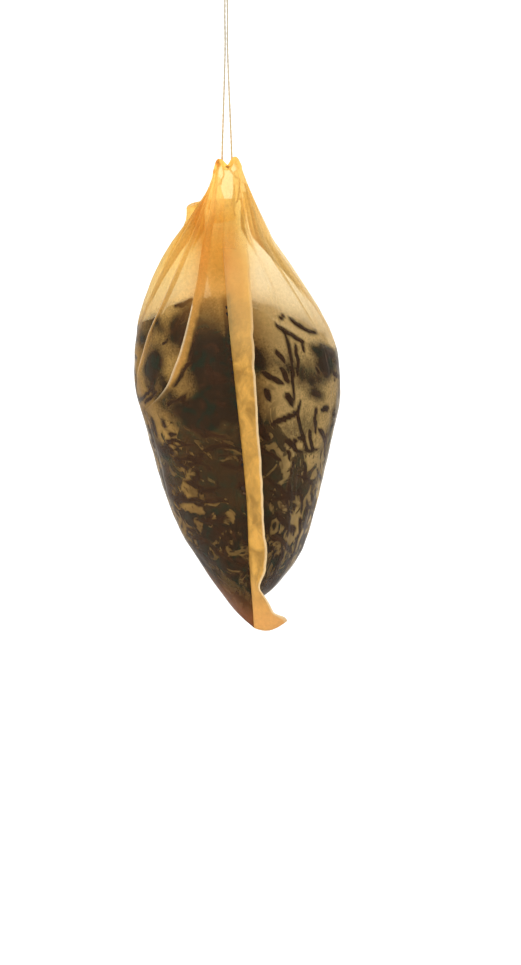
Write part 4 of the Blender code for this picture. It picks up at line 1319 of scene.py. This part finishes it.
def make_thread():
    """Two plies twisted round each other, run along the whole loop."""
    line = thread_route()
    line = np.concatenate([line, line[:1]])
    total = length_to(line)
    whole = total[-1]
    count = round(whole / THREAD_STEP)
    at = np.arange(count) / count * whole
    line = np.stack([np.interp(at, total, line[:, k]) for k in range(3)], axis=1)[::-1]
    # It starts at the hem on the left and runs upwards.
    start = np.argmin(np.linalg.norm(line - np.array(LEFT_INTO_HEM[1]) * MM, axis=1))
    line = np.roll(line, -start, axis=0)
    if line[6, 2] < line[0, 2]:
        line = np.roll(line[::-1], 1, axis=0)
    along = unit(np.roll(line, -1, axis=0) - np.roll(line, 1, axis=0))
    # A frame carried along the line turns no more than it has to; the gap at the end is shared out.
    across = np.empty_like(line)
    across[0] = unit(np.cross(along[0], [0, 1, 0]))
    for i in range(1, count):
        across[i] = unit(across[i - 1] - along[i] * np.dot(across[i - 1], along[i]))
    other = np.cross(along, across)
    closing = across[-1] - along[0] * np.dot(across[-1], along[0])
    gap = math.atan2(np.dot(closing, other[0]), np.dot(closing, across[0]))
    half_turns = round(whole / PLY_HALF_TURN)
    points, stains = [], []
    for i in range(count):
        spin = math.pi * half_turns * i / count - gap * i / count
        for k in range(THREAD_SIDES):
            a = 2 * math.pi * k / THREAD_SIDES
            reach = THREAD_DIAMETER / 2 * (0.70 + 0.30 * abs(math.cos(a)) ** 0.8)
            reach *= 1 + 0.05 * lumps((i * 0.21, k * 0.9, 1.0))
            way = across[i] * math.cos(a + spin) + other[i] * math.sin(a + spin)
            points.append(line[i] + reach * way)
            stains.append(1 - smooth_step(line[i, 2], 0.0, STAINED_TO))
    maker = MeshMaker(["stain"])
    maker.add_points(points, stain=stains)
    ids = np.arange(len(points)).reshape(count, THREAD_SIDES)
    # After an odd number of half turns, the end meets the start half a turn on.
    first = np.roll(ids[0], -THREAD_SIDES // 2) if half_turns % 2 else ids[0]
    for low, high in zip(ids, [*ids[1:], first]):
        maker.join(low, high)
    return maker, line, whole


def main():
    add_camera()
    set_world()
    add_floor()
    add_lamp("key", (-0.55, -0.75, 0.45), 0.7, 3.4)
    add_lamp("back", (0.35, 0.85, 0.25), 0.8, 4.6)

    thread_maker, line, whole = make_thread()
    thread = thread_maker.make("thread_loop", [cotton("cotton_thread_wet")])
    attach(thread, "root")
    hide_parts("drawstring")
    path = [tuple(p) for p in (line[::4] + HUNG)]
    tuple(path[0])

    paper = PaperMap()
    pouch_maker = make_pouch()
    leaf_maker, core_faces = make_leaf(paper, PaperInside(pouch_maker))
    mark_contact(pouch_maker, leaf_maker, core_faces)
    leaf = leaf_maker.make("packed_leaf", [wet_leaf("soaked_black_tea")])
    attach(leaf, "root")
    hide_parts("tea_leaves")
    pouch = pouch_maker.make(
        "paper_pouch",
        [wet_paper("wet_filter_paper", CLEAR_SHARE), bare_paper("wet_filter_paper_inside"),
         sealed_paper("sealed_filter_paper")],
    )
    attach(pouch, "root")
    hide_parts("filter_pouch")

    bpy.context.scene.view_settings.view_transform = "Standard"
    bpy.context.view_layer.update()


main()
